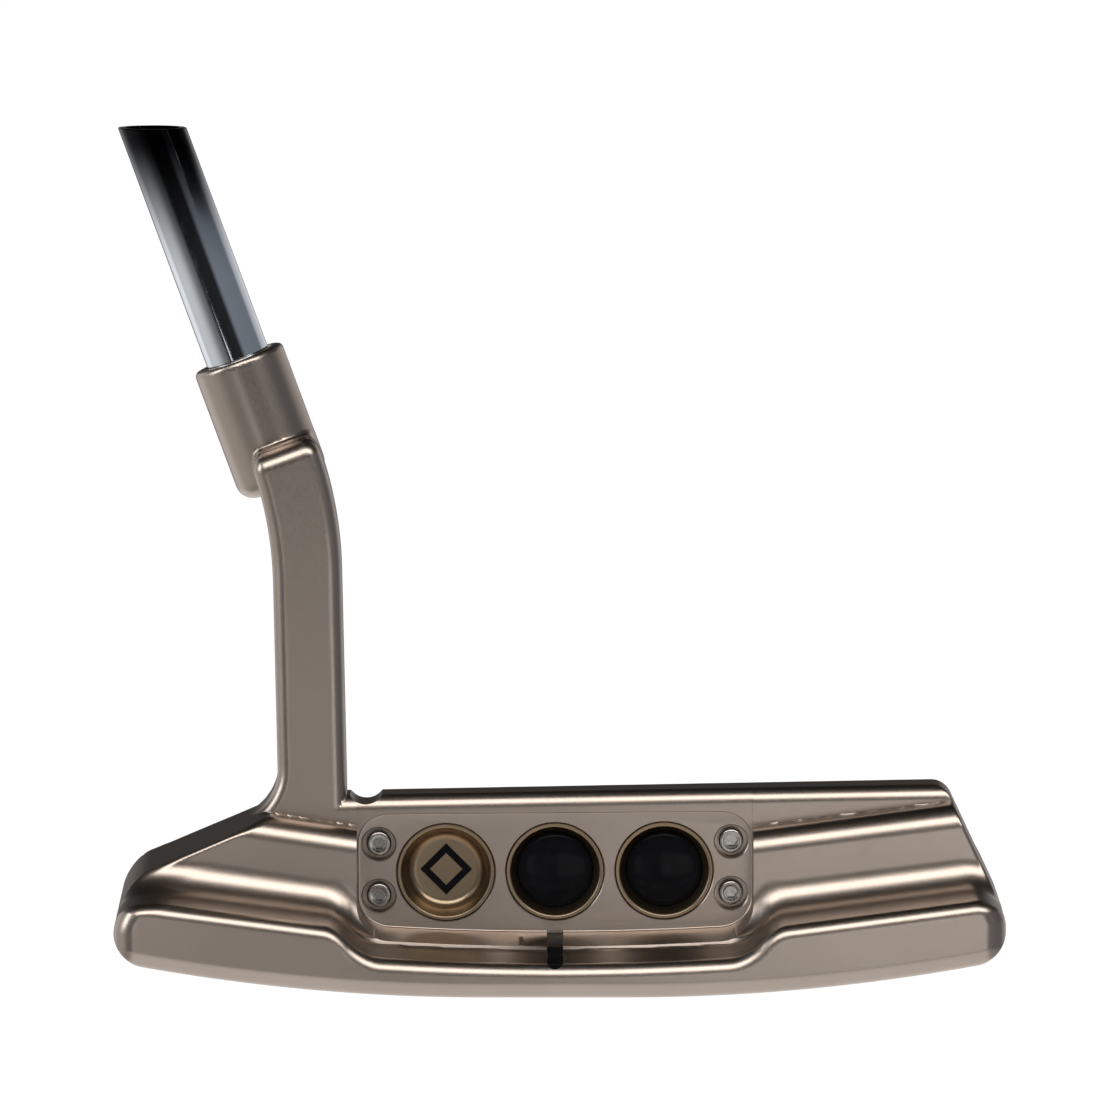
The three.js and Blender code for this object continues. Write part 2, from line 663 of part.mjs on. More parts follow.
function turnedZ(points, segments = ROUND_SEGMENTS) {
  const profile = points.map(([radius, z]) => new THREE.Vector2(radius, z));
  return new THREE.LatheGeometry(profile, segments).rotateX(Math.PI / 2);
}

const weightTop = WEIGHT_SINK + WEIGHT_THICKNESS;
const weightBoreTop = weightTop + WASHER_THICKNESS + 2 * NEST_GAP;

function weightBore(side) {
  const radius = WEIGHT_RADIUS + FIT_GAP;
  const bore = turnedZ([[0, -REACH], [radius, -REACH], [radius, weightBoreTop], [0, weightBoreTop]]);
  return solid(onSole(bore, side));
}

function weightSolid(side) {
  const edge = WEIGHT_RADIUS - WEIGHT_CHAMFER;
  let body = solid(onSole(turnedZ([
    [0, WEIGHT_SINK], [edge, WEIGHT_SINK], [WEIGHT_RADIUS, WEIGHT_SINK + WEIGHT_CHAMFER],
    [WEIGHT_RADIUS, weightTop], [0, weightTop],
  ]), side));
  const [radius, depth] = [SPANNER_HOLE_RADIUS, WEIGHT_SINK + SPANNER_HOLE_DEPTH];
  for (const offset of [-SPANNER_HOLE_OFFSET, SPANNER_HOLE_OFFSET]) {
    const hole = turnedZ([[0, -1], [radius, -1], [radius, depth], [0, depth]], SCREW_SEGMENTS);
    body = body.subtract(solid(onSole(hole.translate(offset, 0, 0), side)));
  }
  return body;
}

function washerSolid(side) {
  const [low, high] = [weightTop + NEST_GAP, weightTop + NEST_GAP + WASHER_THICKNESS];
  return solid(onSole(turnedZ([
    [WASHER_BORE, low], [WEIGHT_RADIUS, low],
    [WEIGHT_RADIUS, high], [WASHER_BORE, high], [WASHER_BORE, low],
  ]), side));
}

// ---------------------------------------------------------------- head body

// Outline of the heel shoulder seen from the back, from the notch round the heel to the blade's middle.
function heelOutline(topZ) {
  const fall = slopeOf(HEEL_SLANT);
  const neckEdge = neckCentreAt(topZ) - NECK_WIDTH / 2;
  const cornerZ = HEEL_SHOULDER_Z - fall * (HEEL_SHOULDER_X - neckEdge);
  const corner = new THREE.Vector2(neckEdge, cornerZ);
  const onSlant = new THREE.Vector2(neckEdge - NECK_FILLET, cornerZ - fall * NECK_FILLET);
  const onPost = new THREE.Vector2(neckEdge, cornerZ + NECK_FILLET);
  const round = HEEL_SHOULDER_ROUND;
  const centreX = -HEEL_END + round;
  const tangentX = centreX - round * Math.sin(rad(HEEL_SLANT));
  const tangentZ = HEEL_SHOULDER_Z + fall * (tangentX - HEEL_SHOULDER_X);
  const centreZ = tangentZ - round * Math.cos(rad(HEEL_SLANT));
  const shoulder = arc(centreX, centreZ, round, 90 + HEEL_SLANT, 180, 7);
  return [
    new THREE.Vector2(0, topZ), new THREE.Vector2(neckEdge, topZ),
    ...bend(onPost, corner, onSlant),
    ...shoulder,
    ...endCurve(HEEL_END, -1),
    new THREE.Vector2(-SCOOP_HALF, -1), new THREE.Vector2(0, -1),
  ];
}

// Outline of the toe half seen from the back.
function toeOutline(topZ) {
  const slant = new THREE.Vector2(Math.sin(rad(TOE_SLANT)), -Math.cos(rad(TOE_SLANT)));
  const top = topAt(TOE_TOP_X);
  const corner = new THREE.Vector2(TOE_TOP_X, top);
  const beforeX = TOE_TOP_X - TOE_CORNER_ROUND;
  const before = new THREE.Vector2(beforeX, topAt(beforeX));
  const after = corner.clone().addScaledVector(slant, TOE_CORNER_ROUND);
  const round = END_ROUND;
  const tangentX = TOE_END - round + round * Math.cos(rad(TOE_SLANT));
  const tangentZ = top - (tangentX - TOE_TOP_X) / Math.tan(rad(TOE_SLANT));
  const centreZ = tangentZ - round * Math.sin(rad(TOE_SLANT));
  return [
    new THREE.Vector2(0, -1), new THREE.Vector2(SCOOP_HALF, -1),
    ...endCurve(TOE_END, 1).reverse(),
    ...arc(TOE_END - round, centreZ, round, 0, TOE_SLANT, 3),
    ...bend(after, corner, before),
    new THREE.Vector2(beforeX, topZ), new THREE.Vector2(0, topZ),
  ];
}

// Plan outline with rounded rear corners.
function planOutline() {
  const r = PLAN_CORNER_ROUND;
  const front = LEADING_EDGE + REACH;
  return [
    ...arc(-HEEL_END + r, FLANGE_REAR + r, r, 180, 270),
    ...arc(TOE_END - r, FLANGE_REAR + r, r, 270, 360),
    new THREE.Vector2(TOE_END, front), new THREE.Vector2(-HEEL_END, front),
  ];
}

function bladeSolid() {
  const notchX = neckCentreAt(TOP_HEIGHT) + NECK_WIDTH / 2 + NOTCH_RADIUS;
  const heelHalf = solid(loftAlongX(
    stationsBetween(-HEEL_END - 1, notchX),
    (x) => bladeSection(x, () => SHOULDER_TOP),
  ));
  const toeHalf = solid(loftAlongX(
    [...stationsBetween(notchX - 0.01, 0), ...stationsBetween(0, TOE_END + 1).slice(1)],
    (x) => bladeSection(x, topAt),
  ));
  const span = [FLANGE_REAR - 1, LEADING_EDGE + 1];
  const heelEdge = leanAlongY(prismY(heelOutline(SHOULDER_TOP), ...span), HEEL_TOP_TILT, LEADING_EDGE);
  const toeEdge = prismY(toeOutline(TOP_HEIGHT + REACH), ...span);
  const edges = solid(heelEdge).add(solid(toeEdge));
  const plan = solid(prismZ(planOutline(), -REACH, TOP_HEIGHT + REACH));
  const notchShape = [
    ...arc(notchX, NOTCH_BOTTOM + NOTCH_RADIUS, NOTCH_RADIUS, 180, 360, 12),
    new THREE.Vector2(notchX + NOTCH_RADIUS, SHOULDER_TOP + 1),
    new THREE.Vector2(notchX - NOTCH_RADIUS, SHOULDER_TOP + 1),
  ];
  const notch = solid(prismY(notchShape, ...span));
  return heelHalf.add(toeHalf).intersect(edges).intersect(plan).subtract(notch);
}

// Wedge that takes the rear edge off the neck's top, drawn in Y and along the hosel axis.
function neckStepCutter() {
  const top = 1 - NECK_TOP_BELOW_HOSEL_TOP;
  const [back, front] = [WALL_Y - 1, WALL_Y + NECK_STEP_CHAMFER + 1];
  const wedge = [[back, top - front + back], [front, top], [back, top]];
  const shape = new THREE.Shape(wedge.map(([y, along]) => new THREE.Vector2(y, along)));
  const geometry = new THREE.ExtrudeGeometry(shape, { depth: 2 * REACH, bevelEnabled: false });
  const across = new THREE.Vector3(0, 1, 0).cross(axisDirection);
  const place = new THREE.Matrix4().makeBasis(new THREE.Vector3(0, 1, 0), axisDirection, across);
  place.setPosition(hoselTop.x, 0, hoselTop.z);
  return solid(geometry.translate(0, 0, -REACH).applyMatrix4(place));
}

function neckSolid() {
  const post = solid(prismY(neckOutline(LEDGE_HEIGHT, NECK_WIDTH), WALL_Y, NECK_FRONT, NECK_EDGE_ROUND));
  const hosel = solid(turnedOnAxis(hoselProfile()));
  const low = beside(0, -NECK_TOP_BELOW_HOSEL_TOP - BRIDGE_HEIGHT).y;
  const back = WALL_Y + NECK_STEP_CHAMFER;
  const core = solid(prismY(neckOutline(LEDGE_HEIGHT, BRIDGE_WIDTH), back, HOSEL_AXIS_Y));
  const above = solid(boxFrom(-HEEL_END, 0, WALL_Y, HOSEL_AXIS_Y + 1, low, HOSEL_TOP));
  return post.subtract(neckStepCutter()).add(core.intersect(above)).add(hosel);
}

function headSolid() {
  let body = bladeSolid().add(neckSolid());
  const cut = (tool) => {
    body = body.subtract(tool);
  };
  const [wallFoot, wallTop] = [POCKET_TOP - POCKET_ROUND, topAt(0) + 1];
  cut(solid(boxFrom(-POCKET_HALF, POCKET_HALF, FLANGE_REAR, WALL_Y + WALL_STEP, wallFoot, wallTop)));
  cut(solid(pocketCutter()));
  cut(solid(scoopCutter(-RIDGE_ROUND, SCOOP_SLOPE, ridgeY, lipY)));
  cut(solid(scoopCutter(-RIDGE_ROUND, 1, ridgeY, ridgeY + RIDGE_ROUND)));
  cut(sightSlot(0, 0, REACH));
  cut(solid(prismY(insertOutline(FIT_GAP), recessY, LEADING_EDGE + 1)));
  for (const x of dotXs) {
    cut(pinY(WINDOW_RADIUS, panelY - 1, recessY + 1, x, rowZ(x, DOT_HEIGHT), ROUND_SEGMENTS));
  }
  for (const { x, z } of screwPlaces) {
    cut(pinY(COUNTERBORE_RADIUS, panelY - 1, panelY + COUNTERBORE_DEPTH, x, z, SCREW_SEGMENTS));
    cut(pinY(shankBoreRadius, panelY, recessY + 1, x, z, SCREW_SEGMENTS));
  }
  for (const side of [-1, 1]) cut(weightBore(side));
  const boreEnd = -SHAFT_SEAT_DEPTH;
  cut(solid(turnedOnAxis([[0, boreEnd], [boreRadius, boreEnd], [boreRadius, 1], [0, 1]])));
  return body;
}

// ---------------------------------------------------------------- assembly

const finishes = {
  head: { color: 0x9c8d80, roughness: 0.38, metalness: 1 },
  insert: { color: 0xa07d52, roughness: 0.35, metalness: 1 },
  pad: { color: 0x3a3a3c, roughness: 0.9, metalness: 0 },
  screw: { color: 0xb8b2aa, roughness: 0.3, metalness: 1 },
  weight: { color: 0xb4b0aa, roughness: 0.35, metalness: 1 },
  washer: { color: 0xd8d4c8, roughness: 0.7, metalness: 0 },
  enamel: { color: 0x0a0a0c, roughness: 0.12, metalness: 0 },
  chrome: { color: 0xdfe4ea, roughness: 0.06, metalness: 1 },
  bond: { color: 0x4a4438, roughness: 0.6, metalness: 0 },
  plug: { color: 0x9a7a52, roughness: 0.95, metalness: 0 },
};

const putter = new THREE.Group();
putter.name = 'blade_putter';

function add(name, body, finish) {
  const mesh = new THREE.Mesh(geometryOf(body), new THREE.MeshStandardMaterial(finishes[finish]));
  mesh.name = name;
  putter.add(mesh);
}

add('head_body', headSolid(), 'head');
add('face_insert', insertSolid(), 'insert');
add('damping_pad', padSolid(), 'pad');
for (const place of screwPlaces) add(place.name, screwSolid(place), 'screw');
for (const [name, side] of [['heel', -1], ['toe', 1]]) {
  add(`sole_weight_${name}`, weightSolid(side), 'weight');
  add(`sole_weight_washer_${name}`, washerSolid(side), 'washer');
}
add('motif_fill_heel', motifSolid(NEST_GAP, dishFloorY, dishFloorY + MOTIF_DEPTH - NEST_GAP), 'enamel');
add('dot_fill_centre', dotFillSolid(0), 'enamel');
add('dot_fill_toe', dotFillSolid(DOT_SPACING), 'enamel');
add('sight_line_fill', sightSlot(NEST_GAP, NEST_GAP, SIGHT_DEPTH - SIGHT_SINK), 'enamel');
add('shaft', shaftSolid(), 'chrome');
add('shaft_bond', bondSolid(), 'bond');
add('tip_plug', plugSolid(), 'plug');

export default putter;
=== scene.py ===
"""Looks of the blade putter head: fine surfaces, metal finishes, studio light and camera."""
import math

import bmesh
import bpy
import numpy as np
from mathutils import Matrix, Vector


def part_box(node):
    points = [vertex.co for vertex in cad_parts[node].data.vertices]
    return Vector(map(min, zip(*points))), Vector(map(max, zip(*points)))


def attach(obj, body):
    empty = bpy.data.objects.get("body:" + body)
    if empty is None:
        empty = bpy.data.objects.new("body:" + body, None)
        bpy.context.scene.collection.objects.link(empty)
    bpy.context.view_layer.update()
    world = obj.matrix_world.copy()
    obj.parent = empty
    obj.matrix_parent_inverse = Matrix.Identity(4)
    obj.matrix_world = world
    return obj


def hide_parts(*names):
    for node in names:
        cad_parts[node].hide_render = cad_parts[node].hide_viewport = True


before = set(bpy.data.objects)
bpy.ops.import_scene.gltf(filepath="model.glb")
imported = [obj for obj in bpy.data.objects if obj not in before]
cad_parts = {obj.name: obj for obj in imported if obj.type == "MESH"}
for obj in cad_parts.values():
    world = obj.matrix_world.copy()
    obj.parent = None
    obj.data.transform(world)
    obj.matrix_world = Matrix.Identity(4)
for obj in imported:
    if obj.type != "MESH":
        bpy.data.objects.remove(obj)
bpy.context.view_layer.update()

MM = 0.001

# Blade, in millimetres: +X to the toe, +Y the way the face looks, origin on the sole's flat.
HEEL_END = 61.6
TOE_END = 62.9
FLANGE_REAR = -13.5
LEADING_EDGE = 13.5
TOP_HEIGHT = 26.9
TOP_RISE = math.tan(math.radians(1.08))
LOFT = math.tan(math.radians(3.5))
WALL_Y = 4.7
TOP_REAR_ROUND = 2.2
EDGE_BREAK = 0.3
TOP_FACE_ROUND = 0.5
LEDGE_HEIGHT = 22.1
LEDGE_COVE = 0.1
LEDGE_ROUND = 3.3
BUMPER_Y = -1.0
COVE_ROUND = 4.5
FLANGE_HEIGHT = 10.45
FLANGE_FALL = math.tan(math.radians(2))
RIDGE_ROUND = 1.9
HEEL_LEDGE_RISE = math.tan(math.radians(8.6))
TOE_LEDGE_RISE = math.tan(math.radians(7.15))
FLANGE_RISE = math.tan(math.radians(7.45))

# Sole and ends.
SOLE_FLAT = 10
SOLE_RADIUS = 265
SOLE_REST_REAR = -4
SOLE_REST_FRONT = 7
SOLE_CAMBER_RADIUS = 62
REAR_EDGE_ROUND = 2.2
SOLE_END_ROUND = 4.2
END_EDGE_ROUND = 0.6
FLANGE_CORNER_ROUND = 3.2
TOE_SLANT = math.radians(25)
TOE_TOP_X = 55.3
TOE_ROUND = 0.6
TOE_CORNER_ROUND = 2.0
HEEL_SLANT = math.radians(23.3)
HEEL_SHOULDER_X = -43.6
HEEL_SHOULDER_Z = 23.6
HEEL_TOP_TILT = 0.08
HEEL_ROUND = 4.4

# Neck post and hosel.
NECK_HALF = 4.85
NECK_FRONT = 12.2
NECK_FOOT_X = -34.3
NECK_LEAN = math.tan(math.radians(1.15))
NECK_EDGE_ROUND = 1.9
NECK_FILLET = 4.5
NECK_STEP_ROUND = 2.4
NECK_BEND = 3.0
NECK_FOOT_REACH = 10.2
NOTCH_RADIUS = 2.7
NOTCH_BOTTOM = 25.1
NOTCH_X = NECK_FOOT_X + NECK_HALF + NOTCH_RADIUS
LIE_LEAN = math.radians(20.1)
HOSEL_RADIUS = 6.6
HOSEL_TOP = 87.4
HOSEL_LENGTH = 19.6
HOSEL_AXIS_Y = 17
HOSEL_AXIS_X0 = -13.0
NECK_TOP_BELOW_HOSEL_TOP = 13.3
NECK_OFFSET_FROM_AXIS = 2.1
BRIDGE_HEIGHT = 9.5
BRIDGE_HALF = 4.0
BRIDGE_TOP_ROUND = 0.5
BRIDGE_FOOT_ROUND = 1.5
BRIDGE_FILLET = 1.0
HOSEL_TOP_ROUND = 0.8
HOSEL_BOTTOM_ROUND = 2.4
HOSEL_FILLET = 0.7

# Pocket, scoop and what sits in them.
POCKET_HALF = 27.9
POCKET_TOP = 24
POCKET_BOTTOM = 6.85
POCKET_ROUND = 4.4
POCKET_SAG_RADIUS = 384
POCKET_DRAFT = 0.045
WALL_STEP = 0.3
PANEL_STEP = 0.3
PANEL_EDGE_ROUND = 0.25
ROW_RISE = 0.008
SCOOP_HEIGHT = 5.37
SCOOP_REAR = -12.1
SCOOP_SLOPE = math.tan(math.radians(4))
SCOOP_LIP = 0.5
SCOOP_LIP_Y = -4.2
SCOOP_RAMP = math.tan(math.radians(47))
SCOOP_RAMP_X = 25.75
SCOOP_BLEND = 2.4
DOT_SPACING = 15.43
DOT_HEIGHT = 15.5
WINDOW_RADIUS = 7.0
WINDOW_CHAMFER = 0.12
FIT_GAP = 0.1
DISH_DEPTH = 3.0
DISH_WALL_RADIUS = 5.5
DISH_LIP_RADIUS = 6.25
DISH_LIP_ROUND = 0.3
DISH_FILLET = 1.35
DOT_EDGE_DEPTH = 2.0
DOT_CROWN = 1.0
MOTIF_HALF = 3.7
MOTIF_LINE = 1.0
MOTIF_DEPTH = 0.4
MOTIF_SINK = 0.05
BACK_WALL = 3.3
PAD_THICKNESS = 0.5
INSERT_HALF = 31
INSERT_BOTTOM = 5
INSERT_TOP = 24
INSERT_ROUND = 6
MILLING_PITCH = 1.25
MILLING_DEPTH = 0.11
CUTTER_RADIUS = 34
COUNTERBORE_RADIUS = 2.35
COUNTERBORE_DEPTH = 2.1
COUNTERBORE_CHAMFER = 0.15
SCREW_HEAD_RADIUS = 1.75
SCREW_HEAD_HEIGHT = 1.6
SCREW_HEAD_CHAMFER = 0.38
SCREW_SOCKET_RADIUS = 0.95
SCREW_SOCKET_DEPTH = 0.95
SCREW_SHANK_RADIUS = 1.0
SCREW_ENGAGEMENT = 2.0
SIGHT_HALF = 1.15
SIGHT_DEPTH = 0.9
SIGHT_REAR = -13.0
SIGHT_SINK = 0.15
WEIGHT_X = 46
WEIGHT_Y = -1
WEIGHT_RADIUS = 6.7
WEIGHT_THICKNESS = 4.4
WEIGHT_SINK = 0.3
SPANNER_HOLE_OFFSET = 4.2
SPANNER_HOLE_RADIUS = 0.9
SPANNER_HOLE_CHAMFER = 0.15
WASHER_THICKNESS = 0.5
NEST_GAP = 0.05
SHAFT_RADIUS = 4.55
SHAFT_WALL = 0.7
SHAFT_CUT_HEIGHT = 120
SHAFT_SEAT_DEPTH = 16
SHAFT_EDGE = 0.12
SHAFT_RINGS = 12
SHAFT_RING_REACH = 18
BORE_RADIUS = 4.85
BORE_CHAMFER = 0.3

PANEL_Y = WALL_Y + WALL_STEP + PANEL_STEP
RECESS_Y = PANEL_Y + BACK_WALL
INSERT_BACK_Y = RECESS_Y + PAD_THICKNESS + 2 * NEST_GAP
DISH_FLOOR_Y = PANEL_Y + FIT_GAP + DISH_DEPTH


# Steps that draw a mesh point to its surface, and grid lines past the parts they measure.
CELL_STEPS = 4
FREE_STEPS = 3
FREE_REACH = 0.04
LEAST_SLOPE = 0.2
PAST_REAR = -16
PAST_FACE = LEADING_EDGE + 3


# ------------------------------------------------------------------ distance fields

def union_round(a, b, r):
    """Join of two distances with a concave fillet."""
    u = np.maximum(r - a, 0)
    v = np.maximum(r - b, 0)
    return np.maximum(r, np.minimum(a, b)) - np.hypot(u, v)


def meet_round(a, b, r):
    """Overlap of two distances with a rounded edge."""
    u = np.maximum(r + a, 0)
    v = np.maximum(r + b, 0)
    return np.minimum(-r, np.maximum(a, b)) + np.hypot(u, v)


def blend_low(a, b, k):
    """The lower of two heights, with a smooth change of width k."""
    h = np.maximum(k - np.abs(a - b), 0) / k
    return np.minimum(a, b) - h * h * k / 4


def blend_high(a, b, k):
    return -blend_low(-a, -b, k)


def past_pocket(x):
    return np.abs(x) - POCKET_HALF


def sole_height(x, y):
    along = np.maximum(np.abs(x) - SOLE_FLAT, 0) ** 2 / (2 * SOLE_RADIUS)
    rear = np.maximum(SOLE_REST_REAR - y, 0)
    front = np.maximum(y - SOLE_REST_FRONT, 0)
    return along + (rear + front) ** 2 / (2 * SOLE_CAMBER_RADIUS)


def top_height(x):
    return TOP_HEIGHT + TOP_RISE * x


def flange_height(x, y):
    """Upper surface of the flange: level wings, ramps and the scooped middle."""
    wing = FLANGE_HEIGHT + FLANGE_RISE * past_pocket(x) + FLANGE_FALL * (y - BUMPER_Y + COVE_ROUND)
    sag = x ** 2 / (2 * POCKET_SAG_RADIUS)
    lip = SCOOP_LIP * np.clip((y - SCOOP_LIP_Y) / SCOOP_LIP + 0.5, 0, 1)
    middle = SCOOP_HEIGHT + sag + SCOOP_SLOPE * (y - SCOOP_REAR) + lip
    ramp = SCOOP_HEIGHT + SCOOP_RAMP * (np.abs(x) - SCOOP_RAMP_X)
    return blend_low(blend_high(middle, ramp, SCOOP_BLEND), wing, SCOOP_BLEND * 0.7)


def heel_slant(x, y, z):
    rise = z - HEEL_SHOULDER_Z + HEEL_TOP_TILT * (LEADING_EDGE - y)
    return rise * math.cos(HEEL_SLANT) - (x - HEEL_SHOULDER_X) * math.sin(HEEL_SLANT)


def toe_slant(x, z):
    return (x - TOE_TOP_X) * math.cos(TOE_SLANT) + (z - top_height(TOE_TOP_X)) * math.sin(TOE_SLANT)


def end_distance(x, y, z):
    """Outline of the blade seen from the back, without the top."""
    toe = meet_round(x - TOE_END, toe_slant(x, z), TOE_ROUND)
    heel = meet_round(-HEEL_END - x, heel_slant(x, y, z), HEEL_ROUND)
    return np.maximum(toe, heel)


def stair_distance(x, y, z, ends):
    """Back of the blade: wall, rounded ledge, bumper face, cove and flange."""
    rise = np.where(x < 0, HEEL_LEDGE_RISE, TOE_LEDGE_RISE)
    ledge = (z - LEDGE_HEIGHT - rise * past_pocket(x)) * np.cos(np.arctan(rise))
    bumper = meet_round(BUMPER_Y - y, ledge, LEDGE_ROUND)
    top = np.where(x < NECK_FOOT_X, -TOP_HEIGHT, z - top_height(x))
    wall = meet_round(WALL_Y - y, top, TOP_REAR_ROUND)
    upper = meet_round(union_round(wall, bumper, LEDGE_COVE), ends, END_EDGE_ROUND)
    flange_top = z - flange_height(x, y)
    step = 0.02
    slope = (flange_height(x + step, y) - flange_height(x - step, y)) / (2 * step)
    flange = meet_round(FLANGE_REAR - y, flange_top / np.sqrt(1 + slope ** 2), RIDGE_ROUND)
    flange = meet_round(flange, ends, FLANGE_CORNER_ROUND)
    cove = COVE_ROUND + (rise - FLANGE_RISE) * past_pocket(x)
    return union_round(upper, flange, cove)


def neck_distance(x, y, z):
    """Neck post, bridge and hosel."""
    sin, cos = math.sin(LIE_LEAN), math.cos(LIE_LEAN)
    top_x = HOSEL_AXIS_X0 - HOSEL_TOP * math.tan(LIE_LEAN)
    across = (x - top_x) * cos + (z - HOSEL_TOP) * sin
    along = -(x - top_x) * sin + (z - HOSEL_TOP) * cos
    upright = (x - NECK_FOOT_X) + NECK_LEAN * (z - TOP_HEIGHT)
    leaning = across - NECK_OFFSET_FROM_AXIS
    centre = blend_high(upright, leaning, NECK_BEND)

    def strip(half):
        return np.abs(centre) - half

    step = along + NECK_TOP_BELOW_HOSEL_TOP
    shoulder = np.maximum(z - top_height(x), heel_slant(x, y, z))
    foot = union_round(strip(NECK_HALF), shoulder, NECK_FILLET)
    foot = np.maximum(foot, NECK_FOOT_X - NECK_FOOT_REACH - x)
    outline = np.where(x > NECK_FOOT_X, strip(NECK_HALF), foot)
    post = meet_round(outline, np.maximum(WALL_Y - y, y - NECK_FRONT), NECK_EDGE_ROUND)
    post = meet_round(post, step, NECK_STEP_ROUND)
    bridge = meet_round(strip(BRIDGE_HALF), step, BRIDGE_TOP_ROUND)
    bridge = meet_round(bridge, -step - BRIDGE_HEIGHT, BRIDGE_FOOT_ROUND)
    bridge = np.maximum(bridge, np.maximum(WALL_Y + NECK_STEP_ROUND + 0.5 - y, y - HOSEL_AXIS_Y))
    radial = np.hypot(across, y - HOSEL_AXIS_Y) - HOSEL_RADIUS
    hosel = meet_round(radial, along, HOSEL_TOP_ROUND)
    hosel = meet_round(hosel, -along - HOSEL_LENGTH, HOSEL_BOTTOM_ROUND)
    joined = union_round(union_round(post, bridge, BRIDGE_FILLET), hosel, HOSEL_FILLET)
    return np.maximum(joined, LEDGE_HEIGHT - 7 - z)


def body_distance(x, y, z):
    """Whole head body before the pocket, the notch and the holes are cut."""
    face = (y - LEADING_EDGE + LOFT * z) / math.hypot(1, LOFT)
    sole = sole_height(x, y) - z
    ends = end_distance(x, y, z)
    top = meet_round(z - top_height(x), toe_slant(x, z), TOE_CORNER_ROUND)
    blade = meet_round(stair_distance(x, y, z, ends), top, EDGE_BREAK)
    blade = meet_round(blade, face, TOP_FACE_ROUND)
    blade = meet_round(blade, sole, REAR_EDGE_ROUND)
    blade = np.maximum(blade, meet_round(ends, sole, SOLE_END_ROUND))
    return np.minimum(blade, neck_distance(x, y, z))


def gradient_of(field, points, step=0.02):
    """Slope of a field at each point, one column for each axis."""
    columns = []
    for axis in range(3):
        shift = np.zeros(3)
        shift[axis] = step
        ahead = field(*(points + shift).T)
        behind = field(*(points - shift).T)
        columns.append((ahead - behind) / (2 * step))
    return np.stack(columns, axis=1)


def surface_mesh(xs, ys, zs, field):
    """Closed quad mesh of the zero surface of a field on an uneven grid.

    Each point is first drawn to the surface inside its own cell, then a little way beyond it.
    """
    grid = [xs, ys, zs]
    values = field(*np.meshgrid(xs, ys, zs, indexing="ij"))
    inside = values < 0
    corners = [(a, b, c) for a in (0, 1) for b in (0, 1) for c in (0, 1)]
    shape = tuple(n - 1 for n in values.shape)

    def corner_of(array, corner):
        cut = tuple(slice(o, o + n) for o, n in zip(corner, shape))
        return array[cut]

    count = sum(corner_of(inside, corner).astype(np.int8) for corner in corners)
    active = np.argwhere((count > 0) & (count < 8))
    number = np.full(shape, -1)
    number[tuple(active.T)] = np.arange(len(active))
    total = np.zeros((len(active), 3))
    hits = np.zeros(len(active))
    for axis in range(3):
        others = [a for a in range(3) if a != axis]
        for p in (0, 1):
            for q in (0, 1):
                start = active.copy()
                start[:, others[0]] += p
                start[:, others[1]] += q
                end = start.copy()
                end[:, axis] += 1
                va = values[tuple(start.T)]
                vb = values[tuple(end.T)]
                crossed = (va < 0) != (vb < 0)
                share = np.where(crossed, va / np.where(crossed, va - vb, 1), 0)
                place = np.stack([grid[a][start[:, a]] for a in range(3)], axis=1)
                reach = grid[axis][end[:, axis]] - grid[axis][start[:, axis]]
                place[:, axis] += share * reach
                total += place * crossed[:, None]
                hits += crossed
    points = total / hits[:, None]
    low = np.stack([grid[a][active[:, a]] for a in range(3)], axis=1)
    high = np.stack([grid[a][active[:, a] + 1] for a in range(3)], axis=1)
    for turn in range(CELL_STEPS + FREE_STEPS):
        gradient = gradient_of(field, points)
        size = np.maximum((gradient ** 2).sum(axis=1), LEAST_SLOPE)
        move = gradient * (field(*points.T) / size)[:, None]
        if turn < CELL_STEPS:
            points = np.clip(points - move, low, high)
        else:
            points = points - np.clip(move, -FREE_REACH, FREE_REACH)
    quads = []
    for axis in range(3):
        u, v = (axis + 1) % 3, (axis + 2) % 3
        lower = [slice(None)] * 3
        upper = [slice(None)] * 3
        lower[axis] = slice(0, -1)
        upper[axis] = slice(1, None)
        for other in (u, v):
            lower[other] = slice(1, -1)
            upper[other] = slice(1, -1)
        here, there = inside[tuple(lower)], inside[tuple(upper)]
        for rising in (True, False):
            spots = np.argwhere(here & ~there if rising else there & ~here)
            spots[:, u] += 1
            spots[:, v] += 1
            ring = []
            for du, dv in ((-1, -1), (0, -1), (0, 0), (-1, 0)):
                cell = spots.copy()
                cell[:, u] += du
                cell[:, v] += dv
                ring.append(number[tuple(cell.T)])
            quad = np.stack(ring, axis=1)
            quads.append(quad if rising else quad[:, ::-1])
    return points, np.concatenate(quads)


def spaced(*stretches):
    """Grid lines from stretches of (start, end, spacing)."""
    lines = [np.linspace(a, b, max(2, round((b - a) / gap) + 1))[:-1] for a, b, gap in stretches]
    return np.concatenate(lines + [[stretches[-1][1]]])


# ------------------------------------------------------------------ meshes

def mesh_object(name, points, faces):
    """Object at the origin from points in millimetres."""
    mesh = bpy.data.meshes.new(name)
    places = (np.asarray(points, dtype=float) * MM).tolist()
    mesh.from_pydata(places, [], [list(map(int, face)) for face in faces])
    mesh.validate()
    mesh.update()
    piece = bpy.data.objects.new(name, mesh)
    bpy.context.scene.collection.objects.link(piece)
    return piece


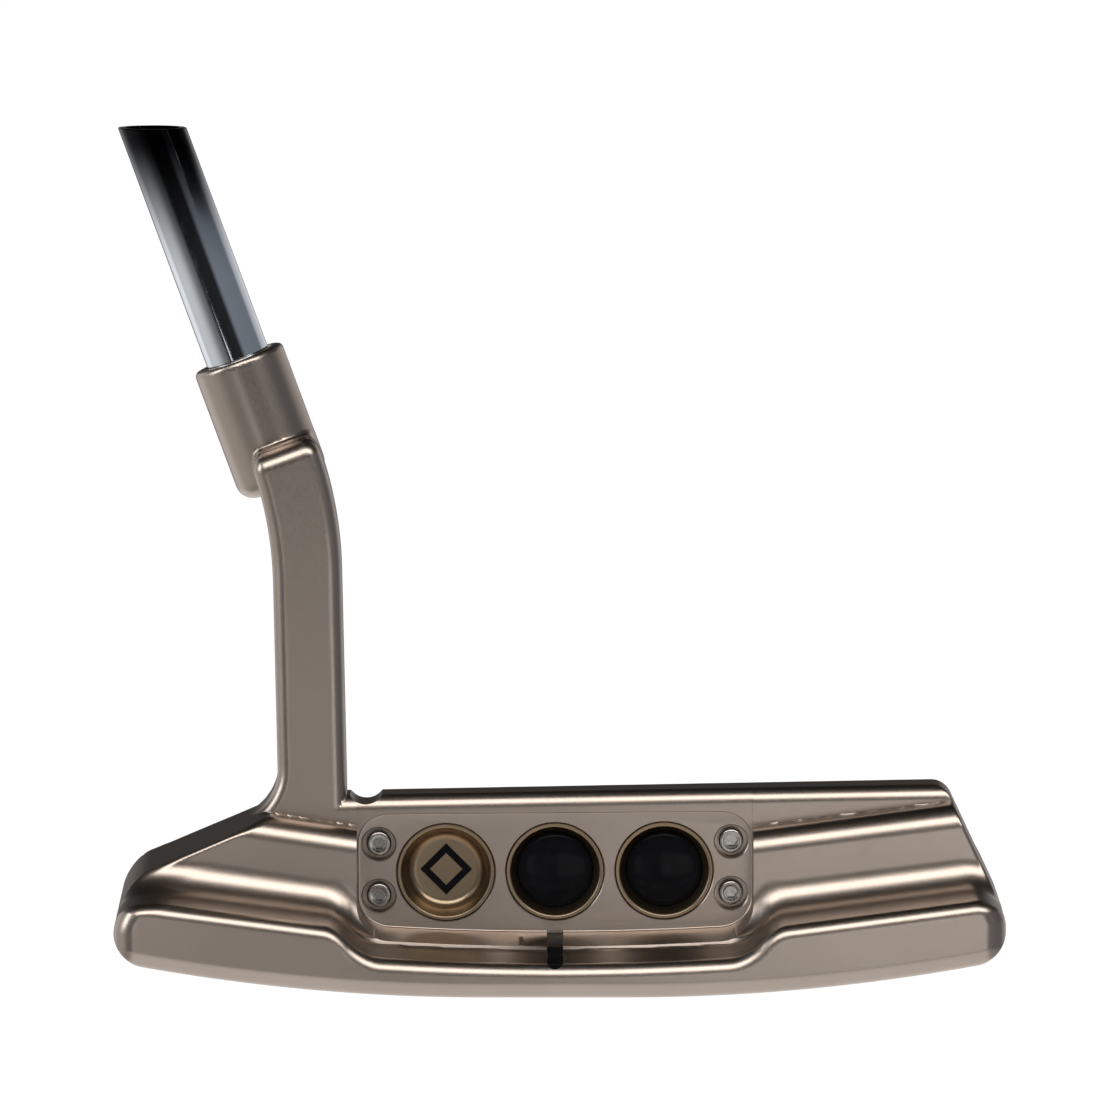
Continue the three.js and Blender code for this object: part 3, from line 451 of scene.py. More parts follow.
def turned(profile, place, direction, segments=96):
    """Points and faces of a body turned about a direction, from radii and distances along it."""
    direction = Vector(direction).normalized()
    turn = Vector((0, 0, 1)).rotation_difference(direction)
    points, faces, rings = [], [], []
    for radius, along in profile:
        if radius == 0:
            rings.append([len(points)])
            points.append(Vector(place) + turn @ Vector((0, 0, along)))
            continue
        rings.append(list(range(len(points), len(points) + segments)))
        for i in range(segments):
            angle = 2 * math.pi * i / segments
            spoke = Vector((radius * math.cos(angle), radius * math.sin(angle), along))
            points.append(Vector(place) + turn @ spoke)
    closed = rings[0] if len(rings[0]) > 1 else None
    pairs = list(zip(rings, rings[1:]))
    if closed and len(rings[-1]) > 1:
        pairs.append((rings[-1], rings[0]))
    for a, b in pairs:
        for i in range(segments):
            j = (i + 1) % segments
            if len(a) == 1 and len(b) == 1:
                continue
            if len(a) == 1:
                faces.append((a[0], b[j], b[i]))
            elif len(b) == 1:
                faces.append((a[i], a[j], b[0]))
            else:
                faces.append((a[i], a[j], b[j], b[i]))
    return points, faces


def face_out(piece):
    """Merges doubles and turns every face outwards."""
    work = bmesh.new()
    work.from_mesh(piece.data)
    bmesh.ops.remove_doubles(work, verts=work.verts, dist=1e-7)
    bmesh.ops.recalc_face_normals(work, faces=work.faces)
    work.to_mesh(piece.data)
    work.free()
    return piece


def turned_object(name, profile, place, direction, segments=96):
    return face_out(mesh_object(name, *turned(profile, place, direction, segments)))


def prism_object(name, outline, y0, y1):
    """Prism along Y of an outline in X and Z."""
    count = len(outline)
    points = [(x, y0, z) for x, z in outline] + [(x, y1, z) for x, z in outline]
    faces = [tuple(range(count)), tuple(range(2 * count - 1, count - 1, -1))]
    faces += [(i, i + count, (i + 1) % count + count, (i + 1) % count) for i in range(count)]
    return face_out(mesh_object(name, points, faces))


def arc(cx, cy, radius, start, end, steps):
    angles = np.radians(np.linspace(start, end, steps + 1))
    return [(cx + radius * math.cos(a), cy + radius * math.sin(a)) for a in angles]


def apply_modifiers(piece):
    graph = bpy.context.evaluated_depsgraph_get()
    graph.update()
    mesh = bpy.data.meshes.new_from_object(piece.evaluated_get(graph), depsgraph=graph)
    piece.modifiers.clear()
    old = piece.data
    piece.data = mesh
    mesh.name = piece.name
    bpy.data.meshes.remove(old)
    return piece


def combine(piece, tool, operation, solver="MANIFOLD"):
    """Boolean of a piece with a tool, which is used up."""
    before = len(piece.data.vertices)
    cut = piece.modifiers.new("cut", "BOOLEAN")
    cut.operation = operation
    cut.solver = solver
    cut.object = tool
    apply_modifiers(piece)
    if len(piece.data.vertices) == before:
        raise RuntimeError(f"{tool.name} did not meet {piece.name}")
    bpy.data.objects.remove(tool)
    return piece


def smooth(piece, angle=32):
    piece.data.shade_smooth()
    piece.data.set_sharp_from_angle(angle=math.radians(angle))
    return piece


# ------------------------------------------------------------------ places

def row_z(x, z):
    return z + ROW_RISE * x


def box_centre(node):
    low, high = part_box(node)
    return [(a + b) / 2 / MM for a, b in zip(low, high)]


DOT_PLACES = {
    "heel": (-DOT_SPACING, row_z(-DOT_SPACING, DOT_HEIGHT)),
    "centre": (0, row_z(0, DOT_HEIGHT)),
    "toe": (DOT_SPACING, row_z(DOT_SPACING, DOT_HEIGHT)),
}
SCREW_NODES = [f"insert_screw_{end}_{row}" for end in ("heel", "toe") for row in ("upper", "lower")]
SCREW_PLACES = [(box_centre(node)[0], box_centre(node)[2]) for node in SCREW_NODES]
AXIS = Vector((-math.sin(LIE_LEAN), 0, math.cos(LIE_LEAN)))
HOSEL_TOP_POINT = Vector((HOSEL_AXIS_X0 - HOSEL_TOP * math.tan(LIE_LEAN), HOSEL_AXIS_Y, HOSEL_TOP))


def insert_outline(grow, steps=16):
    r = INSERT_ROUND + grow
    side = INSERT_HALF - INSERT_ROUND
    low, high = INSERT_BOTTOM + INSERT_ROUND, INSERT_TOP - INSERT_ROUND
    return (arc(side, low, r, -90, 0, steps) + arc(side, high, r, 0, 90, steps)
            + arc(-side, high, r, 90, 180, steps) + arc(-side, low, r, 180, 270, steps))


def pin(name, radius, y0, y1, x, z, segments=64, chamfer=0):
    """Tool for a round hole along Y that opens at y0, with a small chamfer at its mouth."""
    profile = [(0, y0 - 3), (radius + chamfer, y0 - 3)]
    if chamfer:
        profile += [(radius + chamfer, y0), (radius, y0 + chamfer)]
    profile += [(radius, y1), (0, y1)]
    return turned_object(name, profile, (x, 0, z), (0, 1, 0), segments)


# ------------------------------------------------------------------ head body

def loft(name, rings):
    """Closed body through rings that all have as many points."""
    count = len(rings[0])
    points = [p for ring in rings for p in ring]
    faces = [tuple(range(count)), tuple(range(len(points) - 1, len(points) - 1 - count, -1))]
    for start in range(0, len(points) - count, count):
        faces += [(start + i, start + (i + 1) % count, start + count + (i + 1) % count, start + count + i)
                  for i in range(count)]
    return face_out(mesh_object(name, points, faces))


def pocket_ring(y, inset):
    """Rounded rectangle of the pocket at one y; its floor sags towards the middle and falls to the rear."""
    fall = POCKET_DRAFT * (PANEL_Y - y)
    half, r = POCKET_HALF - inset, POCKET_ROUND - inset
    side = half - r
    low, high = inset, POCKET_TOP - POCKET_BOTTOM - inset
    ring = [(x, low) for x in np.linspace(-side, side, 60)[1:-1]]
    ring += arc(side, low + r, r, -90, 0, 16) + arc(side, high - r, r, 0, 90, 16)
    ring += arc(-side, high - r, r, 90, 180, 16) + arc(-side, low + r, r, 180, 270, 16)
    depth = POCKET_TOP - POCKET_BOTTOM
    placed = []
    for x, rise in ring:
        share = rise / depth
        floor = POCKET_BOTTOM + x ** 2 / (2 * POCKET_SAG_RADIUS) - fall
        placed.append((x, y, floor + share * (row_z(x, POCKET_TOP) - floor)))
    return placed


def pocket_tool():
    r = PANEL_EDGE_ROUND
    rings = [pocket_ring(PAST_REAR, 0)]
    for angle in np.linspace(0, math.pi / 2, 6):
        rings.append(pocket_ring(PANEL_Y - r * (1 - math.sin(angle)), r * (1 - math.cos(angle))))
    return loft("pocket", rings)


def notch_tool():
    outline = arc(NOTCH_X, NOTCH_BOTTOM + NOTCH_RADIUS, NOTCH_RADIUS, 180, 360, 32)
    outline += [(NOTCH_X + NOTCH_RADIUS, TOP_HEIGHT + 1), (NOTCH_X - NOTCH_RADIUS, TOP_HEIGHT + 1)]
    return prism_object("notch", outline, -5, LEADING_EDGE + 2)


def wall_step_tool():
    """Lowers the wall above the pocket by a step that follows the rounded top edge."""
    low = POCKET_TOP - POCKET_ROUND
    past_top = 3
    lean = math.radians(20)
    centre_y = WALL_Y + WALL_STEP + TOP_REAR_ROUND
    rings = []
    for x in (-POCKET_HALF, POCKET_HALF):
        centre_z = top_height(x) - TOP_REAR_ROUND
        edge = arc(centre_y, centre_z, TOP_REAR_ROUND, 180, 110, 10)
        y, z = edge[-1]
        edge.append((y + past_top * math.cos(lean), z + past_top * math.sin(lean)))
        outline = [(PAST_REAR, low), (WALL_Y + WALL_STEP, low)] + edge + [(PAST_REAR, edge[-1][1])]
        rings.append([(x, y, z) for y, z in outline])
    return loft("wall_step", rings)


def weight_axis(side):
    slope = math.atan((WEIGHT_X - SOLE_FLAT) / SOLE_RADIUS)
    height = (WEIGHT_X - SOLE_FLAT) ** 2 / (2 * SOLE_RADIUS)
    return (side * WEIGHT_X, WEIGHT_Y, height), (-side * math.sin(slope), 0, math.cos(slope))


def head_piece():
    """Blade, neck and hosel as one surface, with the pocket, the notch and every hole cut in."""
    fine = 0.26
    long = fine * 5
    xs = spaced((-63, -53, fine * 1.7), (-53, -43, fine * 2.2), (-43, -24, fine * 1.6), (-24, -19, fine * 3),
                (-19, 19, long * 1.3), (19, 32, fine * 2.4), (32, 53, long), (53, 64, fine * 1.5))
    ys = spaced((-14.3, 14.3, fine), (14.3, 24.5, fine * 1.8))
    zs = spaced((-0.7, 29, fine), (29, 62, fine * 4), (62, 68, fine * 2), (68, 90.5, fine * 1.8))
    points, quads = surface_mesh(xs, ys, zs, body_distance)
    piece = mesh_object("machined_head", points, quads)
    cuts = [wall_step_tool(), notch_tool(), pocket_tool()]
    cuts.append(prism_object("recess", insert_outline(FIT_GAP), RECESS_Y, PAST_FACE))
    for x, z in DOT_PLACES.values():
        cuts.append(pin("window", WINDOW_RADIUS, PANEL_Y, RECESS_Y + 1, x, z, 128, WINDOW_CHAMFER))
    for x, z in SCREW_PLACES:
        bottom = PANEL_Y + COUNTERBORE_DEPTH
        cuts.append(pin("counterbore", COUNTERBORE_RADIUS, PANEL_Y, bottom, x, z, 72, COUNTERBORE_CHAMFER))
        cuts.append(pin("screw_hole", SCREW_SHANK_RADIUS + FIT_GAP, PANEL_Y + 1, RECESS_Y + 1, x, z, 32))
    for side in (-1, 1):
        place, up = weight_axis(side)
        bore_top = WEIGHT_SINK + WEIGHT_THICKNESS + WASHER_THICKNESS + 2 * NEST_GAP
        radius = WEIGHT_RADIUS + FIT_GAP
        profile = [(0, -8), (radius, -8), (radius, bore_top), (0, bore_top)]
        cuts.append(turned_object("weight_bore", profile, place, up, 128))
    mouth = BORE_RADIUS + BORE_CHAMFER
    bore = [(0, -SHAFT_SEAT_DEPTH), (BORE_RADIUS, -SHAFT_SEAT_DEPTH), (BORE_RADIUS, -BORE_CHAMFER)]
    bore += [(mouth, 0), (mouth, 3), (0, 3)]
    cuts.append(turned_object("hosel_bore", bore, HOSEL_TOP_POINT, AXIS, 128))
    cuts.append(sight_slot("sight_slot", 0, 0, 14))
    for tool in cuts:
        combine(piece, tool, "DIFFERENCE")
    true_normals(smooth(piece), body_distance)
    return piece


def true_normals(piece, field):
    """Shades the free-form surface by its exact normals and leaves the bored surfaces as they are."""
    mesh = piece.data
    count = len(mesh.vertices)
    places = np.empty(count * 3, dtype=np.float32)
    mesh.vertices.foreach_get("co", places)
    places = places.reshape(-1, 3).astype(float) / MM
    gradient = gradient_of(field, places)
    gradient /= np.maximum(np.linalg.norm(gradient, axis=1), 1e-6)[:, None]
    off = np.abs(field(*places.T))
    corners = np.empty(len(mesh.loops), dtype=np.int32)
    mesh.loops.foreach_get("vertex_index", corners)
    shown = np.empty(len(mesh.loops) * 3, dtype=np.float32)
    mesh.corner_normals.foreach_get("vector", shown)
    shown = shown.reshape(-1, 3)
    exact = gradient[corners]
    agree = ((shown * exact).sum(axis=1) > math.cos(math.radians(28))) & (off[corners] < 0.02)
    shown[agree] = exact[agree]
    mesh.normals_split_custom_set(shown.tolist())


def sight_floor(y):
    """Height of the slot's floor, parallel to the pocket, the scoop and the rounded ridge."""
    if y > SCOOP_LIP_Y:
        return POCKET_BOTTOM + POCKET_DRAFT * (y - PANEL_Y) - SIGHT_DEPTH
    past = min(RIDGE_ROUND - 0.05, max(0, FLANGE_REAR + RIDGE_ROUND - y))
    drop = RIDGE_ROUND - math.sqrt(RIDGE_ROUND ** 2 - past ** 2)
    return SCOOP_HEIGHT + SCOOP_SLOPE * (y - SCOOP_REAR) - drop - SIGHT_DEPTH


def sight_slot(name, inset, lift, thickness):
    """Slot with a round rear end, seen from above, that follows the scooped floor."""
    half = SIGHT_HALF - inset
    front = PANEL_Y - inset
    band_y = np.linspace(FLANGE_REAR - 1, PANEL_Y + 0.2, 120)
    low = [(y, sight_floor(y) + lift) for y in band_y]
    high = [(y, sight_floor(y) + lift + thickness) for y in band_y[::-1]]
    band = loft(name, [[(x, y, z) for y, z in low + high] for x in (-3, 3)])
    outline = [(-half, front)] + arc(0, SIGHT_REAR + SIGHT_HALF, half, 180, 360, 32) + [(half, front)]
    capsule = loft("capsule", [[(x, y, z) for x, y in outline] for z in (-5, 20)])
    return combine(band, capsule, "INTERSECT")


# ------------------------------------------------------------------ face insert

def socket_id(tree, name):
    return next(item.identifier for item in tree.interface.items_tree if item.name == name)


def node_tree(name, inputs):
    """Geometry tree with named inputs; returns the tree, its input node and its output node."""
    tree = bpy.data.node_groups.new(name, "GeometryNodeTree")
    tree.interface.new_socket("Geometry", in_out="INPUT", socket_type="NodeSocketGeometry")
    for label, kind, value in inputs:
        item = tree.interface.new_socket(label, in_out="INPUT", socket_type=kind)
        if value is not None:
            item.default_value = value
    tree.interface.new_socket("Geometry", in_out="OUTPUT", socket_type="NodeSocketGeometry")
    return tree, tree.nodes.new("NodeGroupInput"), tree.nodes.new("NodeGroupOutput")


def end_tree(tree, start, geometry, goal):
    """Realize Instances and Set Material, then the output."""
    realize = tree.nodes.new("GeometryNodeRealizeInstances")
    finish = tree.nodes.new("GeometryNodeSetMaterial")
    tree.links.new(geometry, realize.inputs["Geometry"])
    tree.links.new(realize.outputs["Geometry"], finish.inputs["Geometry"])
    tree.links.new(start.outputs["Material"], finish.inputs["Material"])
    tree.links.new(finish.outputs["Geometry"], goal.inputs["Geometry"])


def wire_math(tree, operation, *values):
    node = tree.nodes.new("ShaderNodeMath")
    node.operation = operation
    for socket, value in zip(node.inputs, values):
        if isinstance(value, (int, float)):
            socket.default_value = value
        else:
            tree.links.new(value, socket)
    return node.outputs[0]


def milling_tree():
    """Grooves left on a flat face by a round cutter that steps along X, crossed both ways."""
    tree, start, goal = node_tree("face_milling", [
        ("Groove pitch", "NodeSocketFloat", 1.0 * MM),
        ("Groove depth", "NodeSocketFloat", 0.1 * MM),
        ("Cutter radius", "NodeSocketFloat", 30 * MM),
        ("Row height", "NodeSocketFloat", 14.5 * MM),
        ("Material", "NodeSocketMaterial", None),
    ])
    place = tree.nodes.new("GeometryNodeInputPosition")
    split = tree.nodes.new("ShaderNodeSeparateXYZ")
    tree.links.new(place.outputs[0], split.inputs[0])
    rise = wire_math(tree, "SUBTRACT", split.outputs["Z"], start.outputs["Row height"])
    square = wire_math(tree, "MULTIPLY", rise, rise)
    radius = start.outputs["Cutter radius"]
    whole = wire_math(tree, "MULTIPLY", radius, radius)
    reach = wire_math(tree, "SQRT", wire_math(tree, "SUBTRACT", whole, square))
    grooves = []
    for side in ("SUBTRACT", "ADD"):
        along = wire_math(tree, side, split.outputs["X"], reach)
        turns = wire_math(tree, "DIVIDE", along, start.outputs["Groove pitch"])
        share = wire_math(tree, "FRACT", turns)
        off = wire_math(tree, "SUBTRACT", share, 0.5)
        grooves.append(wire_math(tree, "MULTIPLY", wire_math(tree, "MULTIPLY", off, off), 4.0))
    lowest = wire_math(tree, "MINIMUM", grooves[0], grooves[1])
    share = wire_math(tree, "SUBTRACT", lowest, 1.0)
    sink = wire_math(tree, "MULTIPLY", share, start.outputs["Groove depth"])
    offset = tree.nodes.new("ShaderNodeCombineXYZ")
    tree.links.new(sink, offset.inputs["Y"])
    move = tree.nodes.new("GeometryNodeSetPosition")
    tree.links.new(start.outputs["Geometry"], move.inputs["Geometry"])
    tree.links.new(offset.outputs[0], move.inputs["Offset"])
    end_tree(tree, start, move.outputs["Geometry"], goal)
    return tree


def run_tree(piece, tree, **values):
    """Runs a geometry tree on a piece and leaves a plain mesh."""
    step = piece.modifiers.new("build", "NODES")
    step.node_group = tree
    for name, value in values.items():
        step[socket_id(tree, name.replace("_", " "))] = value
    return apply_modifiers(piece)


def dish_profile(inset, start=0.0):
    """Radius and y down the wall of a dish to the edge of its flat floor."""
    front = PANEL_Y + FIT_GAP
    lip = [(DISH_LIP_RADIUS + DISH_LIP_ROUND * (1 - math.sin(a)), front + DISH_LIP_ROUND * (1 - math.cos(a)))
           for a in np.linspace(0, 1.2, 6)]
    foot = DISH_FLOOR_Y - DISH_FILLET
    wall = [(DISH_WALL_RADIUS, foot)]
    fillet = arc(DISH_WALL_RADIUS - DISH_FILLET, foot, DISH_FILLET, 8, 90, 12)
    path = lip + wall + fillet
    return [(radius - inset, y - inset) for radius, y in path if y >= front + start]


def insert_piece(finish):
    """Lofted plate with a milled face and three dished bosses that show in the windows."""
    spacing = 0.26
    margin = 1.0
    xs = np.arange(-INSERT_HALF - margin, INSERT_HALF + margin, spacing)
    zs = np.arange(INSERT_BOTTOM - margin, INSERT_TOP + margin, spacing)
    wide, tall = len(xs), len(zs)
    points = [(x, LEADING_EDGE - LOFT * z, z) for z in zs for x in xs]
    faces = [(r * wide + c, (r + 1) * wide + c, (r + 1) * wide + c + 1, r * wide + c + 1)
             for r in range(tall - 1) for c in range(wide - 1)]
    face = mesh_object("insert_face", points, faces)
    run_tree(face, milling_tree(), Groove_pitch=MILLING_PITCH * MM, Groove_depth=MILLING_DEPTH * MM,
             Cutter_radius=CUTTER_RADIUS * MM, Row_height=(INSERT_BOTTOM + INSERT_TOP) / 2 * MM,
             Material=finish)
    work = bmesh.new()
    work.from_mesh(face.data)
    rim = [edge for edge in work.edges if edge.is_boundary]
    back = bmesh.ops.extrude_edge_only(work, edges=rim)
    moved = [item for item in back["geom"] if isinstance(item, bmesh.types.BMVert)]
    for vertex in moved:
        vertex.co.y = INSERT_BACK_Y * MM
    bmesh.ops.contextual_create(work, geom=[edge for edge in work.edges if edge.is_boundary])
    bmesh.ops.recalc_face_normals(work, faces=work.faces)
    work.to_mesh(face.data)
    work.free()
    plate = prism_object("bronze_insert", insert_outline(0, 32), INSERT_BACK_Y, LEADING_EDGE + 1)
    combine(plate, face, "INTERSECT")
    for x, z in DOT_PLACES.values():
        rim = WINDOW_RADIUS - FIT_GAP
        front = PANEL_Y + FIT_GAP
        profile = [(0, INSERT_BACK_Y + 1), (rim, INSERT_BACK_Y + 1), (rim, front + 0.1), (rim - 0.1, front)]
        profile += dish_profile(0) + [(0, DISH_FLOOR_Y)]
        combine(plate, turned_object("boss", profile, (x, 0, z), (0, 1, 0), 128), "UNION")
    for x, z in SCREW_PLACES:
        radius = SCREW_SHANK_RADIUS + FIT_GAP
        hole = pin("thread_hole", radius, INSERT_BACK_Y + 1, INSERT_BACK_Y + 2.1, x, z, 24)
        combine(plate, hole, "DIFFERENCE")
    combine(plate, diamond("engraving", 0, DISH_FLOOR_Y - 1, DISH_FLOOR_Y + MOTIF_DEPTH), "DIFFERENCE")
    return smooth(plate, 25)


# ------------------------------------------------------------------ fills, screws, weights, shaft

def diamond(name, inset, y0, y1):
    """Plain diamond outline in the middle of the heel window."""
    x0, z0 = DOT_PLACES["heel"]

    def outline(half):
        return [(x0 + half, z0), (x0, z0 + half), (x0 - half, z0), (x0, z0 - half)]

    outer = prism_object(name, outline(MOTIF_HALF - inset), y0, y1)
    inner = prism_object("inner", outline(MOTIF_HALF - MOTIF_LINE * math.sqrt(2) + inset), y0 - 1, y1 + 1)
    return combine(outer, inner, "DIFFERENCE")


def dot_piece(name, x, z):
    """Glossy domed fill that follows the dish up to its own edge."""
    bed = dish_profile(NEST_GAP, DOT_EDGE_DEPTH)
    edge, height = bed[0]
    crown = [(edge * math.sin(a), height - DOT_CROWN * math.cos(a))
             for a in np.linspace(0, math.pi / 2, 24)]
    profile = [(0, height - DOT_CROWN)] + crown[1:] + bed[1:] + [(0, DISH_FLOOR_Y - NEST_GAP)]
    return smooth(turned_object(name, profile, (x, 0, z), (0, 1, 0), 128), 60)


def screw_blank():
    """One socket screw, head towards -Y, with the head's seat at the origin."""
    head, shank, chamfer = SCREW_HEAD_RADIUS, SCREW_SHANK_RADIUS, SCREW_HEAD_CHAMFER
    top = -SCREW_HEAD_HEIGHT
    end = INSERT_BACK_Y + SCREW_ENGAGEMENT - PANEL_Y - COUNTERBORE_DEPTH
    flat = head - chamfer
    profile = [(0, top + 0.05), (flat - 0.35, top + 0.05), (flat - 0.25, top), (flat, top)]
    profile += [(head - chamfer * (1 - math.sin(a)), top + chamfer * (1 - math.cos(a)))
                for a in np.linspace(0.2, math.pi / 2, 6)]
    profile += [(head, 0), (shank, 0), (shank, end), (0, end)]
    screw = turned_object("screw_blank", profile, (0, 0, 0), (0, 1, 0), 64)
    hexagon = [(SCREW_SOCKET_RADIUS * math.cos(a), SCREW_SOCKET_RADIUS * math.sin(a))
               for a in np.radians(np.arange(0, 360, 60))]
    return combine(screw, prism_object("socket", hexagon, top - 1, top + SCREW_SOCKET_DEPTH), "DIFFERENCE")


def screw_tree():
    """The same screw at every point of a mesh."""
    tree, start, goal = node_tree("insert_screws", [
        ("Screw", "NodeSocketObject", None),
        ("Material", "NodeSocketMaterial", None),
    ])
    blank = tree.nodes.new("GeometryNodeObjectInfo")
    spread = tree.nodes.new("GeometryNodeInstanceOnPoints")
    tree.links.new(start.outputs["Screw"], blank.inputs["Object"])
    tree.links.new(start.outputs["Geometry"], spread.inputs["Points"])
    tree.links.new(blank.outputs["Geometry"], spread.inputs["Instance"])
    end_tree(tree, start, spread.outputs["Instances"], goal)
    return tree


def screws_piece(finish):
    seat = PANEL_Y + COUNTERBORE_DEPTH - NEST_GAP
    screws = mesh_object("socket_screws", [(x, seat, z) for x, z in SCREW_PLACES], [])
    blank = screw_blank()
    bpy.context.view_layer.update()
    run_tree(screws, screw_tree(), Screw=blank, Material=finish)
    bpy.data.objects.remove(blank)
    return smooth(screws, 30)


def weight_piece(name, side):
    """Turned disc with fine rings on its face and two holes for a spanner."""
    place, up = weight_axis(side)
    r = WEIGHT_RADIUS
    low, high = WEIGHT_SINK, WEIGHT_SINK + WEIGHT_THICKNESS
    profile = [(0, low)]
    for ring in np.linspace(1.2, r - 1.0, 9):
        profile += [(ring, low), (ring + 0.06, low + 0.05), (ring + 0.12, low)]
    profile += [(r - 0.4, low), (r - 0.12, low + 0.12), (r, low + 0.4), (r, high), (0, high)]
    weight = turned_object(name, profile, place, up, 128)
    along = Vector(up).cross(Vector((0, 1, 0))).normalized()
    radius, mouth = SPANNER_HOLE_RADIUS, SPANNER_HOLE_RADIUS + SPANNER_HOLE_CHAMFER
    for offset in (-SPANNER_HOLE_OFFSET, SPANNER_HOLE_OFFSET):
        spot = Vector(place) + along * offset
        hole = [(0, -2), (mouth, -2), (mouth, low), (radius, low + SPANNER_HOLE_CHAMFER)]
        hole += [(radius, low + 1.6), (0, low + 2.0)]
        combine(weight, turned_object("spanner_hole", hole, spot, up, 40), "DIFFERENCE")
    return smooth(weight, 25)


def shaft_piece():
    """Tube from inside the hosel to the level cut."""
    segments = 160
    inner = SHAFT_RADIUS - SHAFT_WALL
    turn = Vector((0, 0, 1)).rotation_difference(AXIS)
    tip = -SHAFT_SEAT_DEPTH + NEST_GAP
    points, rings = [], []

    def ring(radius, along=None, height=None):
        start = len(points)
        for i in range(segments):
            angle = 2 * math.pi * i / segments
            spoke = turn @ Vector((radius * math.cos(angle), radius * math.sin(angle), 0))
            base = HOSEL_TOP_POINT + spoke
            reach = along if height is None else (height - base.z) / AXIS.z
            points.append(base + AXIS * reach)
        rings.append(start)

    ring(SHAFT_RADIUS, along=tip)
    for share in np.linspace(0, 1, SHAFT_RINGS):
        ring(SHAFT_RADIUS, along=1 + share * SHAFT_RING_REACH)
    ring(SHAFT_RADIUS, height=SHAFT_CUT_HEIGHT - SHAFT_EDGE)
    ring(SHAFT_RADIUS - SHAFT_EDGE, height=SHAFT_CUT_HEIGHT)
    ring(inner + SHAFT_EDGE, height=SHAFT_CUT_HEIGHT)
    ring(inner, height=SHAFT_CUT_HEIGHT - SHAFT_EDGE)
    ring(inner, along=tip)
    faces = []
    for a, b in zip(rings, rings[1:] + rings[:1]):
        faces += [(a + i, a + (i + 1) % segments, b + (i + 1) % segments, b + i) for i in range(segments)]
    return smooth(face_out(mesh_object("chrome_shaft", points, faces)), 40)


# ------------------------------------------------------------------ finishes

def finish_base(name, **values):
    finish = bpy.data.materials.new(name)
    finish.use_nodes = True
    shader = finish.node_tree.nodes["Principled BSDF"]
    for label, value in values.items():
        shader.inputs[label.replace("_", " ")].default_value = value
    return finish, finish.node_tree, shader


def add_node(tree, kind, **values):
    node = tree.nodes.new(kind)
    for label, value in values.items():
        if label in node.inputs:
            node.inputs[label].default_value = value
        else:
            setattr(node, label, value)
    return node


def object_places(tree, stretch=(1, 1, 1)):
    place = add_node(tree, "ShaderNodeTexCoord")
    mapping = add_node(tree, "ShaderNodeMapping", Scale=stretch)
    tree.links.new(place.outputs["Object"], mapping.inputs["Vector"])
    return mapping.outputs["Vector"]


def noise(tree, places, scale, detail=3.0, roughness=0.55):
    node = add_node(tree, "ShaderNodeTexNoise", Scale=scale, Detail=detail, Roughness=roughness)
    tree.links.new(places, node.inputs["Vector"])
    return node.outputs["Fac"]


def spread(tree, value, low, high):
    """Stretches the middle of a noise to a range."""
    node = add_node(tree, "ShaderNodeMapRange", **{
        "From Min": 0.3, "From Max": 0.7, "To Min": low, "To Max": high,
    })
    tree.links.new(value, node.inputs["Value"])
    return node.outputs["Result"]


def two_tone(tree, value, first, second):
    node = add_node(tree, "ShaderNodeMix", data_type="RGBA")
    node.inputs[6].default_value = (*first, 1)
    node.inputs[7].default_value = (*second, 1)
    tree.links.new(value, node.inputs[0])
    return node.outputs[2]


def bump(tree, height, shader, strength, distance):
    node = add_node(tree, "ShaderNodeBump", Strength=strength, Distance=distance)
    tree.links.new(height, node.inputs["Height"])
    tree.links.new(node.outputs["Normal"], shader.inputs["Normal"])


def satin_metal(name, first, second, rough=(0.29, 0.34)):
    """Blasted metal: fine grain in the surface, a slow drift of tone and a little uneven gloss."""
    finish, tree, shader = finish_base(name, Metallic=1.0, Roughness=0.32)
    places = object_places(tree)
    slow = spread(tree, noise(tree, places, 60), 0, 1)
    tree.links.new(two_tone(tree, slow, first, second), shader.inputs["Base Color"])
    tree.links.new(spread(tree, noise(tree, places, 2400, 2), *rough), shader.inputs["Roughness"])
    bump(tree, noise(tree, places, 2600, 2, 0.5), shader, 0.10, 0.00002)
    return finish


def turned_metal(name, colour, rough):
    """Machined metal with fine tool lines."""
    finish, tree, shader = finish_base(name, Metallic=1.0, Roughness=rough)
    places = object_places(tree)
    lines = noise(tree, places, 1800, 3)
    pale = tuple(min(1, c * 1.12) for c in colour)
    tree.links.new(two_tone(tree, lines, colour, pale), shader.inputs["Base Color"])
    tree.links.new(spread(tree, lines, rough * 0.75, rough * 1.3), shader.inputs["Roughness"])
    bump(tree, lines, shader, 0.3, 0.00002)
    return finish


def black_enamel():
    finish, tree, shader = finish_base("black_enamel", Roughness=0.12, Specular_IOR_Level=0.04)
    places = object_places(tree)
    shade = noise(tree, places, 700)
    black = two_tone(tree, shade, (0.003, 0.003, 0.0035), (0.007, 0.007, 0.0085))
    tree.links.new(black, shader.inputs["Base Color"])
    bump(tree, noise(tree, places, 350, 2), shader, 0.12, 0.00004)
    return finish


